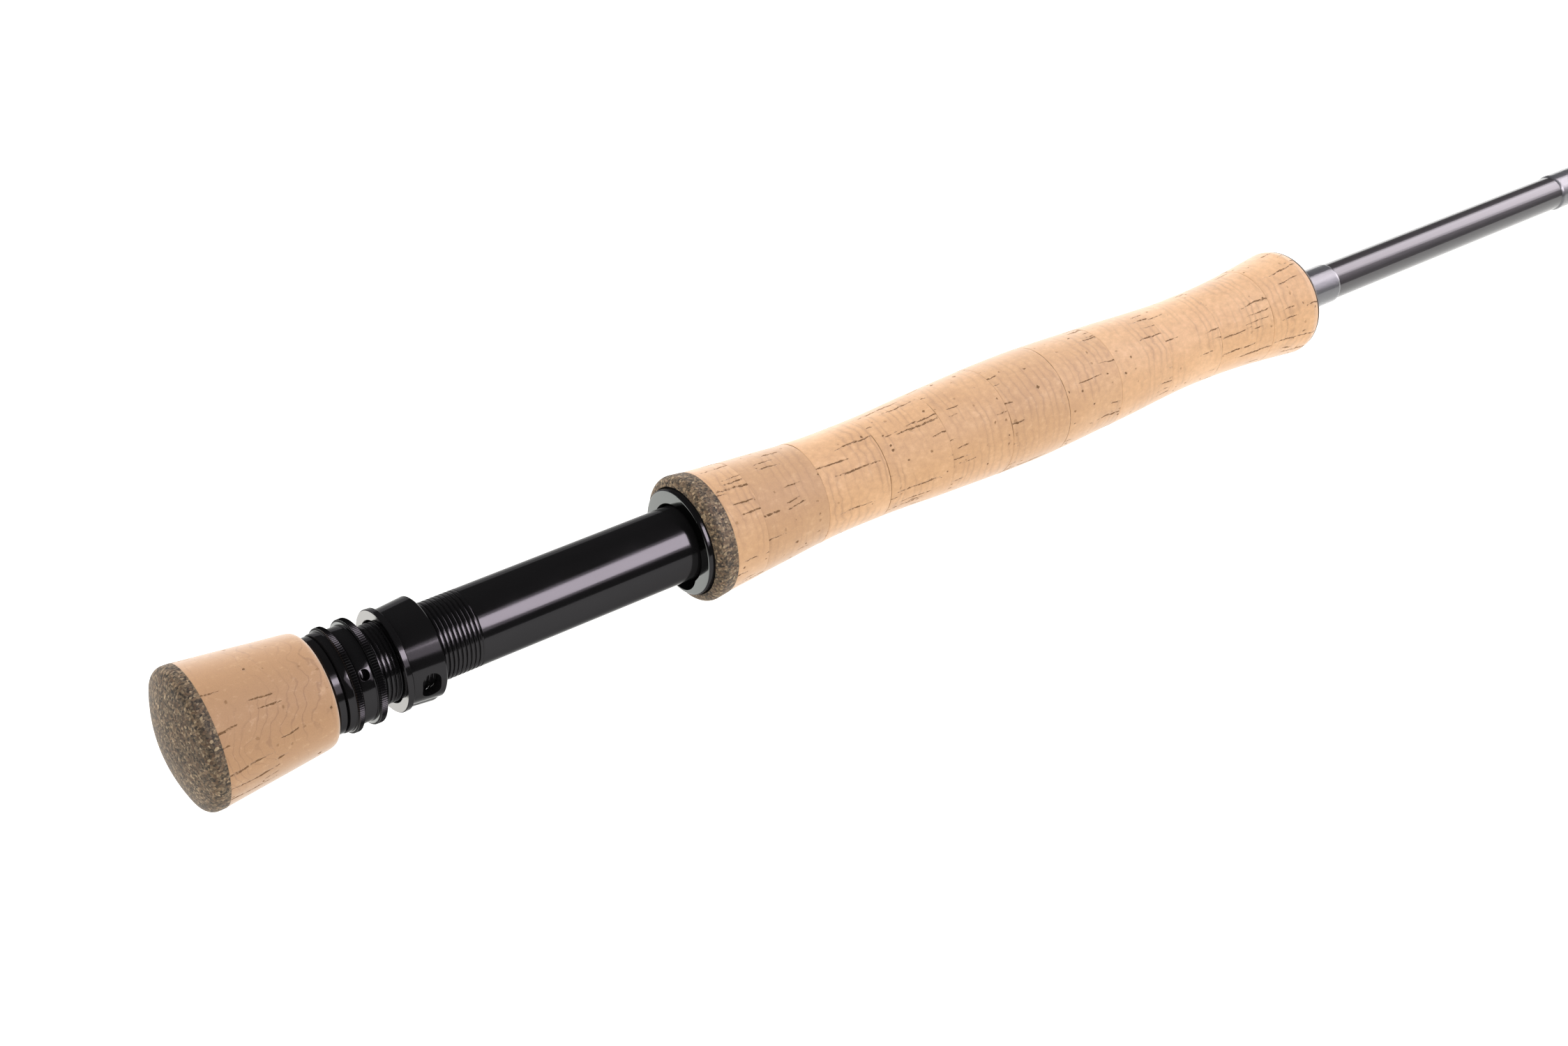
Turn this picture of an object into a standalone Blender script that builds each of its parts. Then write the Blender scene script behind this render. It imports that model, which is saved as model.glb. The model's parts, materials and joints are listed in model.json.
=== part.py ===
"""A four-piece fly rod: cork grip, fighting butt, uplocking reel seat, blanks and guides.

The rod lies along X, its butt end at -X and its tip at +X. The reel foot's side and the
guides face down, to -Z. The origin is under the middle of the rod, level with its lowest
point. Every distance called "along" is measured from the butt end, in metres.
"""

import math

import bmesh
import bpy
import numpy as np
from mathutils import Matrix, Vector

MM = 0.001

# Driving dimensions
ROD_LENGTH = 3048 * MM  # ten feet, assembled
SECTIONS = 4
FERRULE_DEPTH = 50 * MM  # how far one section goes into the next
BARREL_RADIUS = 8.9 * MM  # outside of the reel seat's thread and tube
GAP = 0.3 * MM  # between pieces that touch on the real rod
FIT = 0.15 * MM  # between a thin skin or a ferrule and the blank inside it

# Blank: a straight taper, given by its diameter at one place and its slope
BLANK_DIAMETER = 10.04 * MM
BLANK_MEASURED_AT = 365 * MM
BLANK_SLOPE = 2.94 * MM  # diameter lost per metre
BLANK_START = 10 * MM
WALLS = [1.1 * MM, 1.0 * MM, 0.9 * MM, 0.65 * MM]

# Butt cap and fighting butt
CAP_DOME = 3.1 * MM
CAP_SLOPE = math.radians(24)
CAP_RADIUS = 15.8 * MM
CAP_RIM = 2.5 * MM
CAP_END = 6.65 * MM
BUTT_END = 33.0 * MM
BUTT_FRONT_RADIUS = 12.7 * MM
BUTT_CORNER = 1.8 * MM
BUTT_BORE_END = 9.7 * MM

# Reel seat
BARREL_START, BARREL_END = 18 * MM, 138 * MM
BARREL_WALL = 0.9 * MM
COLLAR_START, COLLAR_END, COLLAR_RADIUS = 33.3 * MM, 35.2 * MM, 10.9 * MM
RING_RADIUS = 11.8 * MM  # knurled flanges of both lock rings
REAR_RING = {"sleeve": 35.5 * MM, "flange": 37.2 * MM, "end": 38.8 * MM, "radius": 11.1 * MM}
FRONT_RING = {"sleeve": 39.1 * MM, "flange": 42.3 * MM, "end": 44.1 * MM, "radius": 10.7 * MM}
SEAL_WIDTH, SEAL_THICKNESS = 0.8 * MM, 0.7 * MM
RING_WINDOW = (40.6 * MM, 2.2 * MM, 2.6 * MM, 32)  # middle along, width, height, degrees up
HOOD_START, HOOD_FLANGE_END, HOOD_END = 48.8 * MM, 50.3 * MM, 58.3 * MM
HOOD_FLANGE_RADIUS = 11.7 * MM
HOOD_REAR_RADIUS, HOOD_FRONT_RADIUS = 10.8 * MM, 11.45 * MM
HOOD_WINDOWS = (54.6 * MM, 4.2 * MM, 6.8 * MM, -13)  # as RING_WINDOW, one on each side
POCKET_DROP = 5.0 * MM  # how far the pocket's round wall is centred below the rod's axis
POCKET_RADIUS = 7.1 * MM
HOOD_POCKET_REAR_RADIUS = 6.3 * MM  # the sliding hood's pocket narrows to this
POCKET_WALL = 0.9 * MM
CUP_START, CUP_END, CUP_RADIUS = 124.5 * MM, 139.5 * MM, 12.8 * MM
CUP_POCKET_DEPTH = 12 * MM

# Grip
RING_PITCH = 18.6 * MM  # thickness of one cork ring
WHOLE_CORK_RINGS = 10
GRIP_END = 326.1 * MM
END_RING_START, END_RING_END = 125.9 * MM, 131.0 * MM
END_RING_RADIUS = 15.2 * MM
GRIP_CORNER = 3.5 * MM
GRIP_SHAPE = [  # along, radius: a full-wells grip
    (131.0 * MM, 14.75 * MM),
    (148.0 * MM, 13.40 * MM),
    (164.0 * MM, 12.30 * MM),
    (178.0 * MM, 12.25 * MM),
    (200.0 * MM, 13.20 * MM),
    (228.0 * MM, 13.90 * MM),
    (256.0 * MM, 12.95 * MM),
    (284.0 * MM, 11.70 * MM),
    (300.0 * MM, 12.20 * MM),
    (312.0 * MM, 13.15 * MM),
    (322.6 * MM, 14.30 * MM),
]

# Wraps, hook keeper and ferrules
WRAP_THICKNESS = 0.3 * MM
GRIP_WRAP = (330.5 * MM, 342.3 * MM)
KEEPER_WRAPS = ((439.7 * MM, 451.7 * MM), (462.7 * MM, 474.7 * MM))
KEEPER_WIRE = 0.5 * MM
KEEPER_HEIGHT = 4.2 * MM
SLEEVE_LENGTH = 85 * MM
SLEEVE_WALL = 0.95 * MM
SLEEVE_WRAP = 16 * MM

# Guides: the gaps between them grow evenly from the tip towards the grip
SNAKE_GUIDES, STRIPPING_GUIDES = 9, 2
FIRST_GUIDE_GAP, GUIDE_GAP_STEP = 98 * MM, 19.5 * MM
SNAKE_WIRE = 0.45 * MM
SNAKE_LOOP = (2.2 * MM, 2.9 * MM)  # loop radius at the tip and at the stripping guides
SNAKE_LENGTH, FOOT_LENGTH = 9 * MM, 8 * MM
STRIPPER_RINGS = [5.2 * MM, 6.2 * MM]  # outside radius of each ceramic ring, tip side first
STRIPPER_STAND = 7.4 * MM  # from the blank's surface to the ring's rim
CERAMIC_WALL, HOLDER_WALL = 1.4 * MM, 0.8 * MM
STRUT_WIRE = 0.7 * MM
TIP_RING_RADIUS, TIP_RING_WIRE, TIP_RING_TILT = 2.9 * MM, 0.55 * MM, math.radians(35)
TIP_TUBE_LENGTH, TIP_TUBE_END_WALL = 11 * MM, 1.5 * MM

FINE, MEDIUM, COARSE = 32, 16, 8  # sides of turned pieces, blanks and wires

# Finishes: base colour, roughness, metallic
CORK = ((0.72, 0.48, 0.29), 0.75, 0.0)
BURL = ((0.20, 0.15, 0.10), 0.80, 0.0)
ANODISED = ((0.012, 0.011, 0.013), 0.18, 0.4)
FOAM = ((0.55, 0.50, 0.42), 0.90, 0.0)
RUBBER = ((0.02, 0.02, 0.02), 0.60, 0.0)
GRAPHITE = ((0.02, 0.018, 0.022), 0.15, 0.0)
THREAD = ((0.23, 0.24, 0.27), 0.20, 0.0)
STEEL = ((0.45, 0.45, 0.47), 0.25, 1.0)
CERAMIC = ((0.12, 0.12, 0.13), 0.10, 0.0)


def blank_radius(along):
    return (BLANK_DIAMETER - BLANK_SLOPE * (along - BLANK_MEASURED_AT)) / 2


def section_start(number):
    """Where the blank of section 1, 2, 3 or 4 starts, socket included."""
    length = (ROD_LENGTH + (SECTIONS - 1) * FERRULE_DEPTH) / SECTIONS
    return (number - 1) * (length - FERRULE_DEPTH)


def guide_places():
    """The guides' middles, from the one nearest the tip to the one nearest the grip."""
    gaps = [FIRST_GUIDE_GAP + GUIDE_GAP_STEP * i for i in range(SNAKE_GUIDES + STRIPPING_GUIDES)]
    return [ROD_LENGTH - sum(gaps[: i + 1]) for i in range(len(gaps))]


def stripper_drop(ring_radius, along):
    """From the rod's axis down to the lowest point of a stripping guide."""
    return blank_radius(along) + STRIPPER_STAND + 2 * (ring_radius + GAP + HOLDER_WALL)


def tip_tube_end():
    """The tube ends just past the top of the ring, whose front reaches the rod's full length."""
    return ROD_LENGTH - TIP_RING_WIRE * 0.6 - 2 * TIP_RING_RADIUS * math.sin(TIP_RING_TILT)


AXIS_HEIGHT = stripper_drop(STRIPPER_RINGS[-1], guide_places()[-1])


def material(name, finish):
    """A Principled material of the object's own, in one of the finishes."""
    colour, roughness, metallic = finish
    made = bpy.data.materials.new(name)
    made.use_nodes = True
    shader = made.node_tree.nodes["Principled BSDF"]
    shader.inputs["Base Color"].default_value = (*colour, 1.0)
    shader.inputs["Roughness"].default_value = roughness
    shader.inputs["Metallic"].default_value = metallic
    return made


def clear_scene():
    for obj in list(bpy.data.objects):
        bpy.data.objects.remove(obj, do_unlink=True)


def empty(name, parent, along):
    """A joint's frame: on the rod's axis, at a distance from the butt end."""
    made = bpy.data.objects.new(name, None)
    bpy.context.collection.objects.link(made)
    made["along"] = along
    if parent:
        made.parent = parent
        made.location = (along - parent["along"], 0, 0)
    return made


def add_object(name, bm, parent, along, finish):
    """Turns a bmesh, whose X counts from the butt end, into an object with its origin there."""
    bmesh.ops.translate(bm, verts=bm.verts, vec=(-along, 0, 0))
    mesh = bpy.data.meshes.new(name)
    bm.to_mesh(mesh)
    bm.free()
    mesh.shade_smooth()
    mesh.set_sharp_from_angle(angle=math.radians(35))
    mesh.materials.append(material(name, finish))
    made = bpy.data.objects.new(name, mesh)
    bpy.context.collection.objects.link(made)
    made.parent = parent
    made.location = (along - parent["along"], 0, 0)
    return made


def revolve(outline, sides):
    """A closed body turned about X from (along, radius) points, listed once around."""
    bm = bmesh.new()
    verts = [bm.verts.new((along, 0, radius)) for along, radius in outline]
    for i, vert in enumerate(verts):
        other = verts[(i + 1) % len(verts)]
        if vert.co.z > 0 or other.co.z > 0:
            bm.edges.new((vert, other))
    bmesh.ops.spin(
        bm, geom=bm.verts[:] + bm.edges[:], cent=(0, 0, 0), axis=(1, 0, 0),
        angle=2 * math.pi, steps=sides, use_merge=True,
    )
    bmesh.ops.remove_doubles(bm, verts=bm.verts, dist=1e-6)
    bmesh.ops.recalc_face_normals(bm, faces=bm.faces)
    return bm


def turned(name, parent, outline, finish, sides=FINE):
    start = min(along for along, _ in outline)
    return add_object(name, revolve(outline, sides), parent, start, finish)


def arc(middle, radius, start, end, steps):
    """Points on a quarter round, angles in degrees, 0 along +X and 90 away from the axis."""
    angles = np.radians(np.linspace(start, end, steps + 1))
    return [(middle[0] + radius * math.cos(a), middle[1] + radius * math.sin(a)) for a in angles]


def sweep(points, radii, sides=COARSE):
    """A closed tube along a list of points, with a radius at each."""
    bm = bmesh.new()
    points = [Vector(p) for p in points]
    side = Vector((0, 1, 0))
    rings = []
    for i, point in enumerate(points):
        forward = (points[min(i + 1, len(points) - 1)] - points[max(i - 1, 0)]).normalized()
        side = (side - forward * side.dot(forward)).normalized()
        up = forward.cross(side)
        ring = []
        for k in range(sides):
            angle = 2 * math.pi * k / sides
            offset = side * math.cos(angle) + up * math.sin(angle)
            ring.append(bm.verts.new(point + offset * radii[i]))
        rings.append(ring)
    for first, second in zip(rings, rings[1:]):
        for k in range(sides):
            after = (k + 1) % sides
            bm.faces.new((first[k], first[after], second[after], second[k]))
    bm.faces.new(rings[0])
    bm.faces.new(rings[-1])
    bmesh.ops.recalc_face_normals(bm, faces=bm.faces)
    return bm


def combine(target, other, operation):
    """Joins or cuts with a helper, which isn't a part of its own."""
    other.hide_render = True
    other.display_type = "WIRE"
    modifier = target.modifiers.new(f"{operation.lower()} {other.name}", "BOOLEAN")
    modifier.operation = operation
    modifier.object = other
    modifier.solver = "EXACT"


def drum(name, parent, start, end, radius, drop, finish, sides=FINE):
    """A cylinder along X, its axis below the rod's by drop. Two radii instead of one make it a cone."""
    first, last = radius if isinstance(radius, tuple) else (radius, radius)
    outline = [(start, 0), (end, 0), (end, last), (start, first)]
    bm = revolve(outline, sides)
    bmesh.ops.translate(bm, verts=bm.verts, vec=(0, 0, -drop))
    return add_object(name, bm, parent, start, finish)


def window(name, parent, place, side, finish):
    """A round-ended bar from the rod's axis out to one side (-1 is -Y), to cut a window there."""
    middle, width, height, elevation = place
    bm = bmesh.new()
    radius = width / 2
    straight = height / 2 - radius
    corners = []
    for centre, start in ((straight, 0), (-straight, 180)):
        for k in range(7):
            angle = math.radians(start + 180 * k / 6)
            corners.append((middle + radius * math.cos(angle), centre + radius * math.sin(angle)))
    face = bm.faces.new([bm.verts.new((x, 0, z)) for x, z in corners])
    moved = bmesh.ops.extrude_face_region(bm, geom=[face])["geom"]
    ends = [item for item in moved if isinstance(item, bmesh.types.BMVert)]
    bmesh.ops.translate(bm, verts=ends, vec=(0, side * 15 * MM, 0))
    turn = Matrix.Rotation(side * math.radians(elevation), 4, "X")
    bmesh.ops.transform(bm, matrix=turn, verts=bm.verts)
    bmesh.ops.recalc_face_normals(bm, faces=bm.faces)
    return add_object(name, bm, parent, middle, finish)


def butt_pieces(rod):
    rim = (CAP_DOME + CAP_RIM * math.cos(CAP_SLOPE), CAP_RADIUS - CAP_RIM)
    reach = rim[1] + CAP_RIM * math.sin(CAP_SLOPE)
    dome = [(CAP_DOME * (k / 5) ** 2, reach * k / 5) for k in range(5)]
    edge = arc(rim, CAP_RIM, 180 - math.degrees(CAP_SLOPE), 90, 3)
    cap = dome + edge + [(CAP_END, CAP_RADIUS - 0.05 * MM), (CAP_END, 0)]
    turned("butt_cap", rod, cap, BURL)

    start = CAP_END + GAP
    corner = (BUTT_END - BUTT_CORNER, BUTT_FRONT_RADIUS - BUTT_CORNER)
    bore = BARREL_RADIUS + GAP
    tail = BARREL_START - GAP
    blank_bore = blank_radius(BUTT_BORE_END) + GAP
    cork_outline = [(start, 0), (BUTT_BORE_END, 0), (BUTT_BORE_END, blank_bore), (tail, blank_bore)]
    cork_outline += [(tail, bore), (BUTT_END, bore)]
    cork_outline += arc(corner, BUTT_CORNER, 0, 84, 3)
    cork_outline += [(start, CAP_RADIUS - 0.1 * MM)]
    turned("fighting_butt", rod, cork_outline, CORK)


def tube(name, parent, start, end, outside, inside, finish, sides=FINE):
    """A straight or tapered tube: outside and inside are radii or functions of the place."""
    out = outside if callable(outside) else lambda _: outside
    bore = inside if callable(inside) else lambda _: inside
    outline = [(start, bore(start)), (end, bore(end)), (end, out(end)), (start, out(start))]
    return turned(name, parent, outline, finish, sides)


def seat_pieces(rod):
    inner = BARREL_RADIUS - BARREL_WALL
    bore = BARREL_RADIUS + GAP
    tube("seat_barrel", rod, BARREL_START, BARREL_END, BARREL_RADIUS, inner, ANODISED)
    tube("seat_end_collar", rod, COLLAR_START, COLLAR_END, COLLAR_RADIUS, bore, ANODISED)

    def around_blank(along):
        return blank_radius(along) + FIT

    tube("rear_arbor", rod, 22 * MM, 62 * MM, inner - GAP, around_blank, FOAM, MEDIUM)
    tube("front_arbor", rod, 92 * MM, 134 * MM, inner - GAP, around_blank, FOAM, MEDIUM)

    cup = tube("fixed_hood", rod, CUP_START, CUP_END, CUP_RADIUS, bore, ANODISED)
    pocket_end = CUP_START + CUP_POCKET_DEPTH
    pocket = drum(
        "fixed_hood_pocket", rod, CUP_START - 2 * MM, pocket_end, POCKET_RADIUS, POCKET_DROP, ANODISED
    )
    combine(cup, pocket, "DIFFERENCE")


def lock_ring(name, parent, ring):
    """A smooth sleeve and a flange to be turned by the fingers, with a groove for its seal."""
    bore = BARREL_RADIUS + GAP
    groove = bore + SEAL_THICKNESS + GAP
    middle = (ring["flange"] + ring["end"]) / 2
    half = SEAL_WIDTH / 2 + GAP / 2
    edge = 0.25 * MM
    outline = [
        (ring["sleeve"], bore),
        (middle - half, bore),
        (middle - half, groove),
        (middle + half, groove),
        (middle + half, bore),
        (ring["end"], bore),
        (ring["end"], RING_RADIUS - edge),
        (ring["end"] - edge, RING_RADIUS),
        (ring["flange"] + edge, RING_RADIUS),
        (ring["flange"], RING_RADIUS - edge),
        (ring["flange"], ring["radius"]),
        (ring["sleeve"], ring["radius"]),
    ]
    return turned(name, parent, outline, ANODISED)


def ring_seal(name, parent, ring):
    middle = (ring["flange"] + ring["end"]) / 2
    half = SEAL_WIDTH / 2
    inside = BARREL_RADIUS + FIT
    tube(name, parent, middle - half, middle + half, inside + SEAL_THICKNESS, inside, RUBBER)


def moving_seat_pieces(rod):
    for place, ring in (("rear", REAR_RING), ("front", FRONT_RING)):
        middle = (ring["flange"] + ring["end"]) / 2
        slide = empty(f"{place}_ring_slide", rod, middle)
        ring_seal(f"{place}_ring_seal", slide, ring)
        spin = empty(f"{place}_ring_spin", slide, middle)
        made = lock_ring(f"{place}_lock_ring", spin, ring)
        if place == "front":
            cutter = window("ring_window", spin, RING_WINDOW, -1, ANODISED)
            combine(made, cutter, "DIFFERENCE")

    slide = empty("hood_slide", rod, HOOD_START)
    bore = BARREL_RADIUS + GAP
    rough_bore = bore - 0.6 * MM
    outline = [(HOOD_START, rough_bore), (HOOD_END, rough_bore)]
    outline.append((HOOD_END, HOOD_FRONT_RADIUS - 0.35 * MM))
    outline += [(HOOD_END - 0.35 * MM, HOOD_FRONT_RADIUS), (HOOD_FLANGE_END, HOOD_REAR_RADIUS)]
    outline += [(HOOD_FLANGE_END, HOOD_FLANGE_RADIUS), (HOOD_START, HOOD_FLANGE_RADIUS)]
    hood = turned("sliding_hood", slide, outline, ANODISED)
    lobe_start, lobe_end = HOOD_START + 0.5 * MM, HOOD_END - 0.2 * MM
    lobe_radii = (HOOD_POCKET_REAR_RADIUS + POCKET_WALL, POCKET_RADIUS + POCKET_WALL)
    lobe = drum("hood_lobe", slide, lobe_start, lobe_end, lobe_radii, POCKET_DROP, ANODISED)
    plug = drum("hood_bore", slide, HOOD_START - MM, HOOD_END + MM, bore, 0, ANODISED)
    pocket_start = HOOD_FLANGE_END + 0.2 * MM
    pocket_radii = (HOOD_POCKET_REAR_RADIUS, POCKET_RADIUS + 0.1 * MM)
    pocket = drum(
        "hood_pocket", slide, pocket_start, HOOD_END + MM, pocket_radii, POCKET_DROP, ANODISED
    )
    combine(hood, lobe, "UNION")
    combine(hood, plug, "DIFFERENCE")
    combine(hood, pocket, "DIFFERENCE")
    for side in (-1, 1):
        cutter = window(f"hood_window_{side}", slide, HOOD_WINDOWS, side, ANODISED)
        combine(hood, cutter, "DIFFERENCE")


def grip_radius(along):
    """A smooth curve through GRIP_SHAPE, flat where the grip is thickest and thinnest."""
    xs = np.array([point[0] for point in GRIP_SHAPE])
    ys = np.array([point[1] for point in GRIP_SHAPE])
    slopes = np.gradient(ys, xs)
    i = int(np.clip(np.searchsorted(xs, along) - 1, 0, len(xs) - 2))
    width = xs[i + 1] - xs[i]
    t = np.clip((along - xs[i]) / width, 0, 1)
    start = (1 + 2 * t) * (1 - t) ** 2 * ys[i] + t * (1 - t) ** 2 * width * slopes[i]
    end = t * t * (3 - 2 * t) * ys[i + 1] + t * t * (t - 1) * width * slopes[i + 1]
    return float(start + end)


def grip_pieces(rod):
    seat_bore = CUP_RADIUS + GAP
    corner = 2.0 * MM
    middle = (END_RING_START + corner, END_RING_RADIUS - corner)
    outline = [(END_RING_START, seat_bore), (END_RING_END, seat_bore)]
    outline += [(END_RING_END, grip_radius(END_RING_END))]
    outline += arc(middle, corner, 84, 174, 3)
    turned("grip_end_ring", rod, outline, BURL)

    first_whole = GRIP_END - WHOLE_CORK_RINGS * RING_PITCH
    edges = [END_RING_END] + [first_whole + RING_PITCH * i for i in range(WHOLE_CORK_RINGS + 1)]
    for number, (start, end) in enumerate(zip(edges, edges[1:]), 1):
        start += GAP
        last = number == len(edges) - 1
        bore = blank_radius(start) + FIT if number > 1 else seat_bore
        outer = np.linspace(end - (GRIP_CORNER if last else 0), start, 4)
        outline = [(start, bore), (end, bore)]
        if last:
            outline += arc((end - GRIP_CORNER, grip_radius(end - GRIP_CORNER) - GRIP_CORNER),
                           GRIP_CORNER, 0, 90, 4)[:-1]
        outline += [(along, grip_radius(along)) for along in outer]
        turned(f"cork_ring_{number:02d}", rod, outline, CORK)

    start = GRIP_END + GAP
    check = (start, start + 3.2 * MM)
    outline = [
        (check[0], blank_radius(check[0]) + FIT),
        (check[1], blank_radius(check[0]) + FIT),
        (check[1], blank_radius(check[0]) + 0.9 * MM),
        (check[0], blank_radius(check[0]) + 2.0 * MM),
    ]
    turned("winding_check", rod, outline, RUBBER, MEDIUM)


def wrap(name, parent, start, end, under=0.0):
    """Thread wound on the blank, or on a sleeve that stands out from it by under."""
    tube(
        name, parent, start, end,
        lambda along: blank_radius(along) + under + FIT + WRAP_THICKNESS,
        lambda along: blank_radius(along) + under + FIT, THREAD, MEDIUM,
    )


def blanks_and_ferrules(bodies):
    sleeve_out = FIT + SLEEVE_WALL
    for number, body in enumerate(bodies, 1):
        start = section_start(number) + FERRULE_DEPTH + GAP if number > 1 else BLANK_START
        if number < SECTIONS:
            end = section_start(number + 1) + FERRULE_DEPTH
        else:
            end = tip_tube_end() - TIP_TUBE_END_WALL - GAP
        wall = WALLS[number - 1]
        name = "butt_blank" if number == 1 else "tip_blank" if number == SECTIONS else f"blank_{number}"
        tube(name, body, start, end, blank_radius, lambda along: blank_radius(along) - wall,
             GRAPHITE, MEDIUM)
        if number == 1:
            continue
        mouth = section_start(number)
        tube(f"ferrule_sleeve_{number}", body, mouth, mouth + SLEEVE_LENGTH,
             lambda along: blank_radius(along) + sleeve_out,
             lambda along: blank_radius(along) + FIT, GRAPHITE, MEDIUM)
        wrap(f"ferrule_wrap_{number}", body, mouth + 2 * MM, mouth + 2 * MM + SLEEVE_WRAP, sleeve_out)


def wire_foot(along, direction, height):
    """Points of a foot that lies on the blank, from its far end towards the guide."""
    places = [along - direction * FOOT_LENGTH * k for k in (1.0, 0.5, 0.1)]
    return [(place, 0, -height) for place in places]


def snake_guide(name, parent, along, loop):
    """One wire: a foot, a full turn that rises off the blank, and a second foot."""
    surface = blank_radius(along - SNAKE_LENGTH) + FIT + SNAKE_WIRE
    points = wire_foot(along - SNAKE_LENGTH / 2, 1, surface)
    turn = 18
    for k in range(turn + 1):
        angle = 2 * math.pi * k / turn
        x = along + SNAKE_LENGTH * (k / turn - 0.5)
        points.append((x, loop * math.sin(angle), -surface - loop * (1 - math.cos(angle))))
    points += wire_foot(along + SNAKE_LENGTH / 2, -1, surface)[::-1]
    radii = [SNAKE_WIRE] * len(points)
    radii[0] = radii[-1] = SNAKE_WIRE * 0.6
    add_object(name, sweep(points, radii, 6), parent, along, STEEL)


def stripping_guide(number, parent, along, ring_radius):
    """A CERAMIC ring in a STEEL holder on three struts and two feet."""
    surface = blank_radius(along - 15 * MM) + FIT + STRUT_WIRE
    drop = blank_radius(along) + STRIPPER_STAND + ring_radius + GAP + HOLDER_WALL
    ring_half = 0.9 * MM
    edge = 0.4 * MM
    inside = ring_radius - CERAMIC_WALL

    outline = [
        (along - ring_half, inside + edge),
        (along, inside),
        (along + ring_half, inside + edge),
        (along + ring_half, ring_radius - edge),
        (along + ring_half - edge, ring_radius),
        (along - ring_half + edge, ring_radius),
        (along - ring_half, ring_radius - edge),
    ]
    bm = revolve(outline, 24)
    bmesh.ops.translate(bm, verts=bm.verts, vec=(0, 0, -drop))
    add_object(f"stripping_ring_{number}", bm, parent, along, CERAMIC)

    bore = ring_radius + GAP
    outside = bore + HOLDER_WALL
    half = 1.0 * MM
    bm = revolve(
        [(along - half, bore), (along + half, bore), (along + half, outside), (along - half, outside)], 24
    )
    bmesh.ops.translate(bm, verts=bm.verts, vec=(0, 0, -drop))
    frame = add_object(f"stripping_guide_{number}", bm, parent, along, STEEL)

    rim = outside - STRUT_WIRE * 0.4
    reach = 13 * MM
    front = [(along + reach + FOOT_LENGTH, 0, -surface), (along + reach, 0, -surface)]
    front += [(along + reach * 0.45, 0, -surface - STRIPPER_STAND * 0.55), (along, 0, -drop + rim)]
    struts = [front]
    for side in (-1, 1):
        grip = math.radians(70)
        end = (along, side * rim * math.sin(grip), -drop + rim * math.cos(grip))
        foot = [(along - reach - FOOT_LENGTH, 0, -surface), (along - reach, 0, -surface)]
        bend = (along - reach * 0.5, side * rim * 0.45, -surface - STRIPPER_STAND * 0.55)
        struts.append(foot + [bend, end])
    for k, points in enumerate(struts):
        radii = [STRUT_WIRE * 0.6] + [STRUT_WIRE] * (len(points) - 1)
        strut = add_object(f"strut_{number}_{k}", sweep(points, radii, 6), parent, along, STEEL)
        combine(frame, strut, "UNION")


def tip_top(parent):
    """A tube that slips over the tip, and the last line ring, brazed to its end."""
    end = tip_tube_end()
    start = end - TIP_TUBE_LENGTH
    inside = blank_radius(start) + FIT
    outside = inside + 0.45 * MM
    inner_end = end - TIP_TUBE_END_WALL
    outline = [(start, inside), (inner_end, inside), (inner_end, 0), (end, 0)]
    outline += [(end, outside - 0.3 * MM), (end - 0.6 * MM, outside), (start, outside)]
    made = turned("tip_top", parent, outline, STEEL, MEDIUM)

    section = arc((0, TIP_RING_RADIUS), TIP_RING_WIRE, 0, 315, 7)
    bm = revolve(section, 20)
    middle = ROD_LENGTH - TIP_RING_WIRE - TIP_RING_RADIUS * math.sin(TIP_RING_TILT)
    drop = TIP_RING_RADIUS * math.cos(TIP_RING_TILT)
    place = Matrix.Translation((middle, 0, -drop)) @ Matrix.Rotation(-TIP_RING_TILT, 4, "Y")
    bmesh.ops.transform(bm, matrix=place, verts=bm.verts)
    ring = add_object("tip_ring", bm, parent, start, STEEL)
    combine(made, ring, "UNION")


def hook_keeper(parent):
    start = KEEPER_WRAPS[0][1] + GAP
    end = KEEPER_WRAPS[1][0] - GAP
    surface = blank_radius(start) + FIT + KEEPER_WIRE
    points = []
    for k in range(13):
        t = k / 12
        rise = math.sin(math.pi * t) ** 0.8 if 0 < t < 1 else 0.0
        points.append((start + (end - start) * t, 0, -surface - KEEPER_HEIGHT * rise))
    add_object("hook_keeper", sweep(points, [KEEPER_WIRE] * len(points), 6), parent, start, STEEL)


def build():
    clear_scene()
    rod = empty("rod", None, 0.0)
    rod.location = (-ROD_LENGTH / 2, 0, AXIS_HEIGHT)
    sections = [rod]
    for number in range(2, SECTIONS + 1):
        sections.append(empty(f"section_{number}", sections[-1], section_start(number)))

    butt_pieces(rod)
    seat_pieces(rod)
    moving_seat_pieces(rod)
    grip_pieces(rod)
    wrap("grip_wrap", rod, *GRIP_WRAP)
    for place, (start, end) in zip(("rear", "front"), KEEPER_WRAPS):
        wrap(f"keeper_wrap_{place}", rod, start, end)
    hook_keeper(rod)
    blanks_and_ferrules(sections)

    for i, along in enumerate(guide_places()):
        owner = max(n for n in range(1, SECTIONS + 1) if section_start(n) < along)
        body = sections[owner - 1]
        if i < SNAKE_GUIDES:
            loop = np.interp(i, (0, SNAKE_GUIDES - 1), SNAKE_LOOP)
            snake_guide(f"snake_guide_{SNAKE_GUIDES - i}", body, along, loop)
        else:
            k = i - SNAKE_GUIDES
            number = STRIPPING_GUIDES - k
            stripping_guide(number, body, along, STRIPPER_RINGS[k])
    tip_top(sections[-1])


build()
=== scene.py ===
import json
from math import cos, exp, hypot, pi, radians, sin

import bmesh
import bpy
import numpy as np
from mathutils import Matrix, Vector


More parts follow.
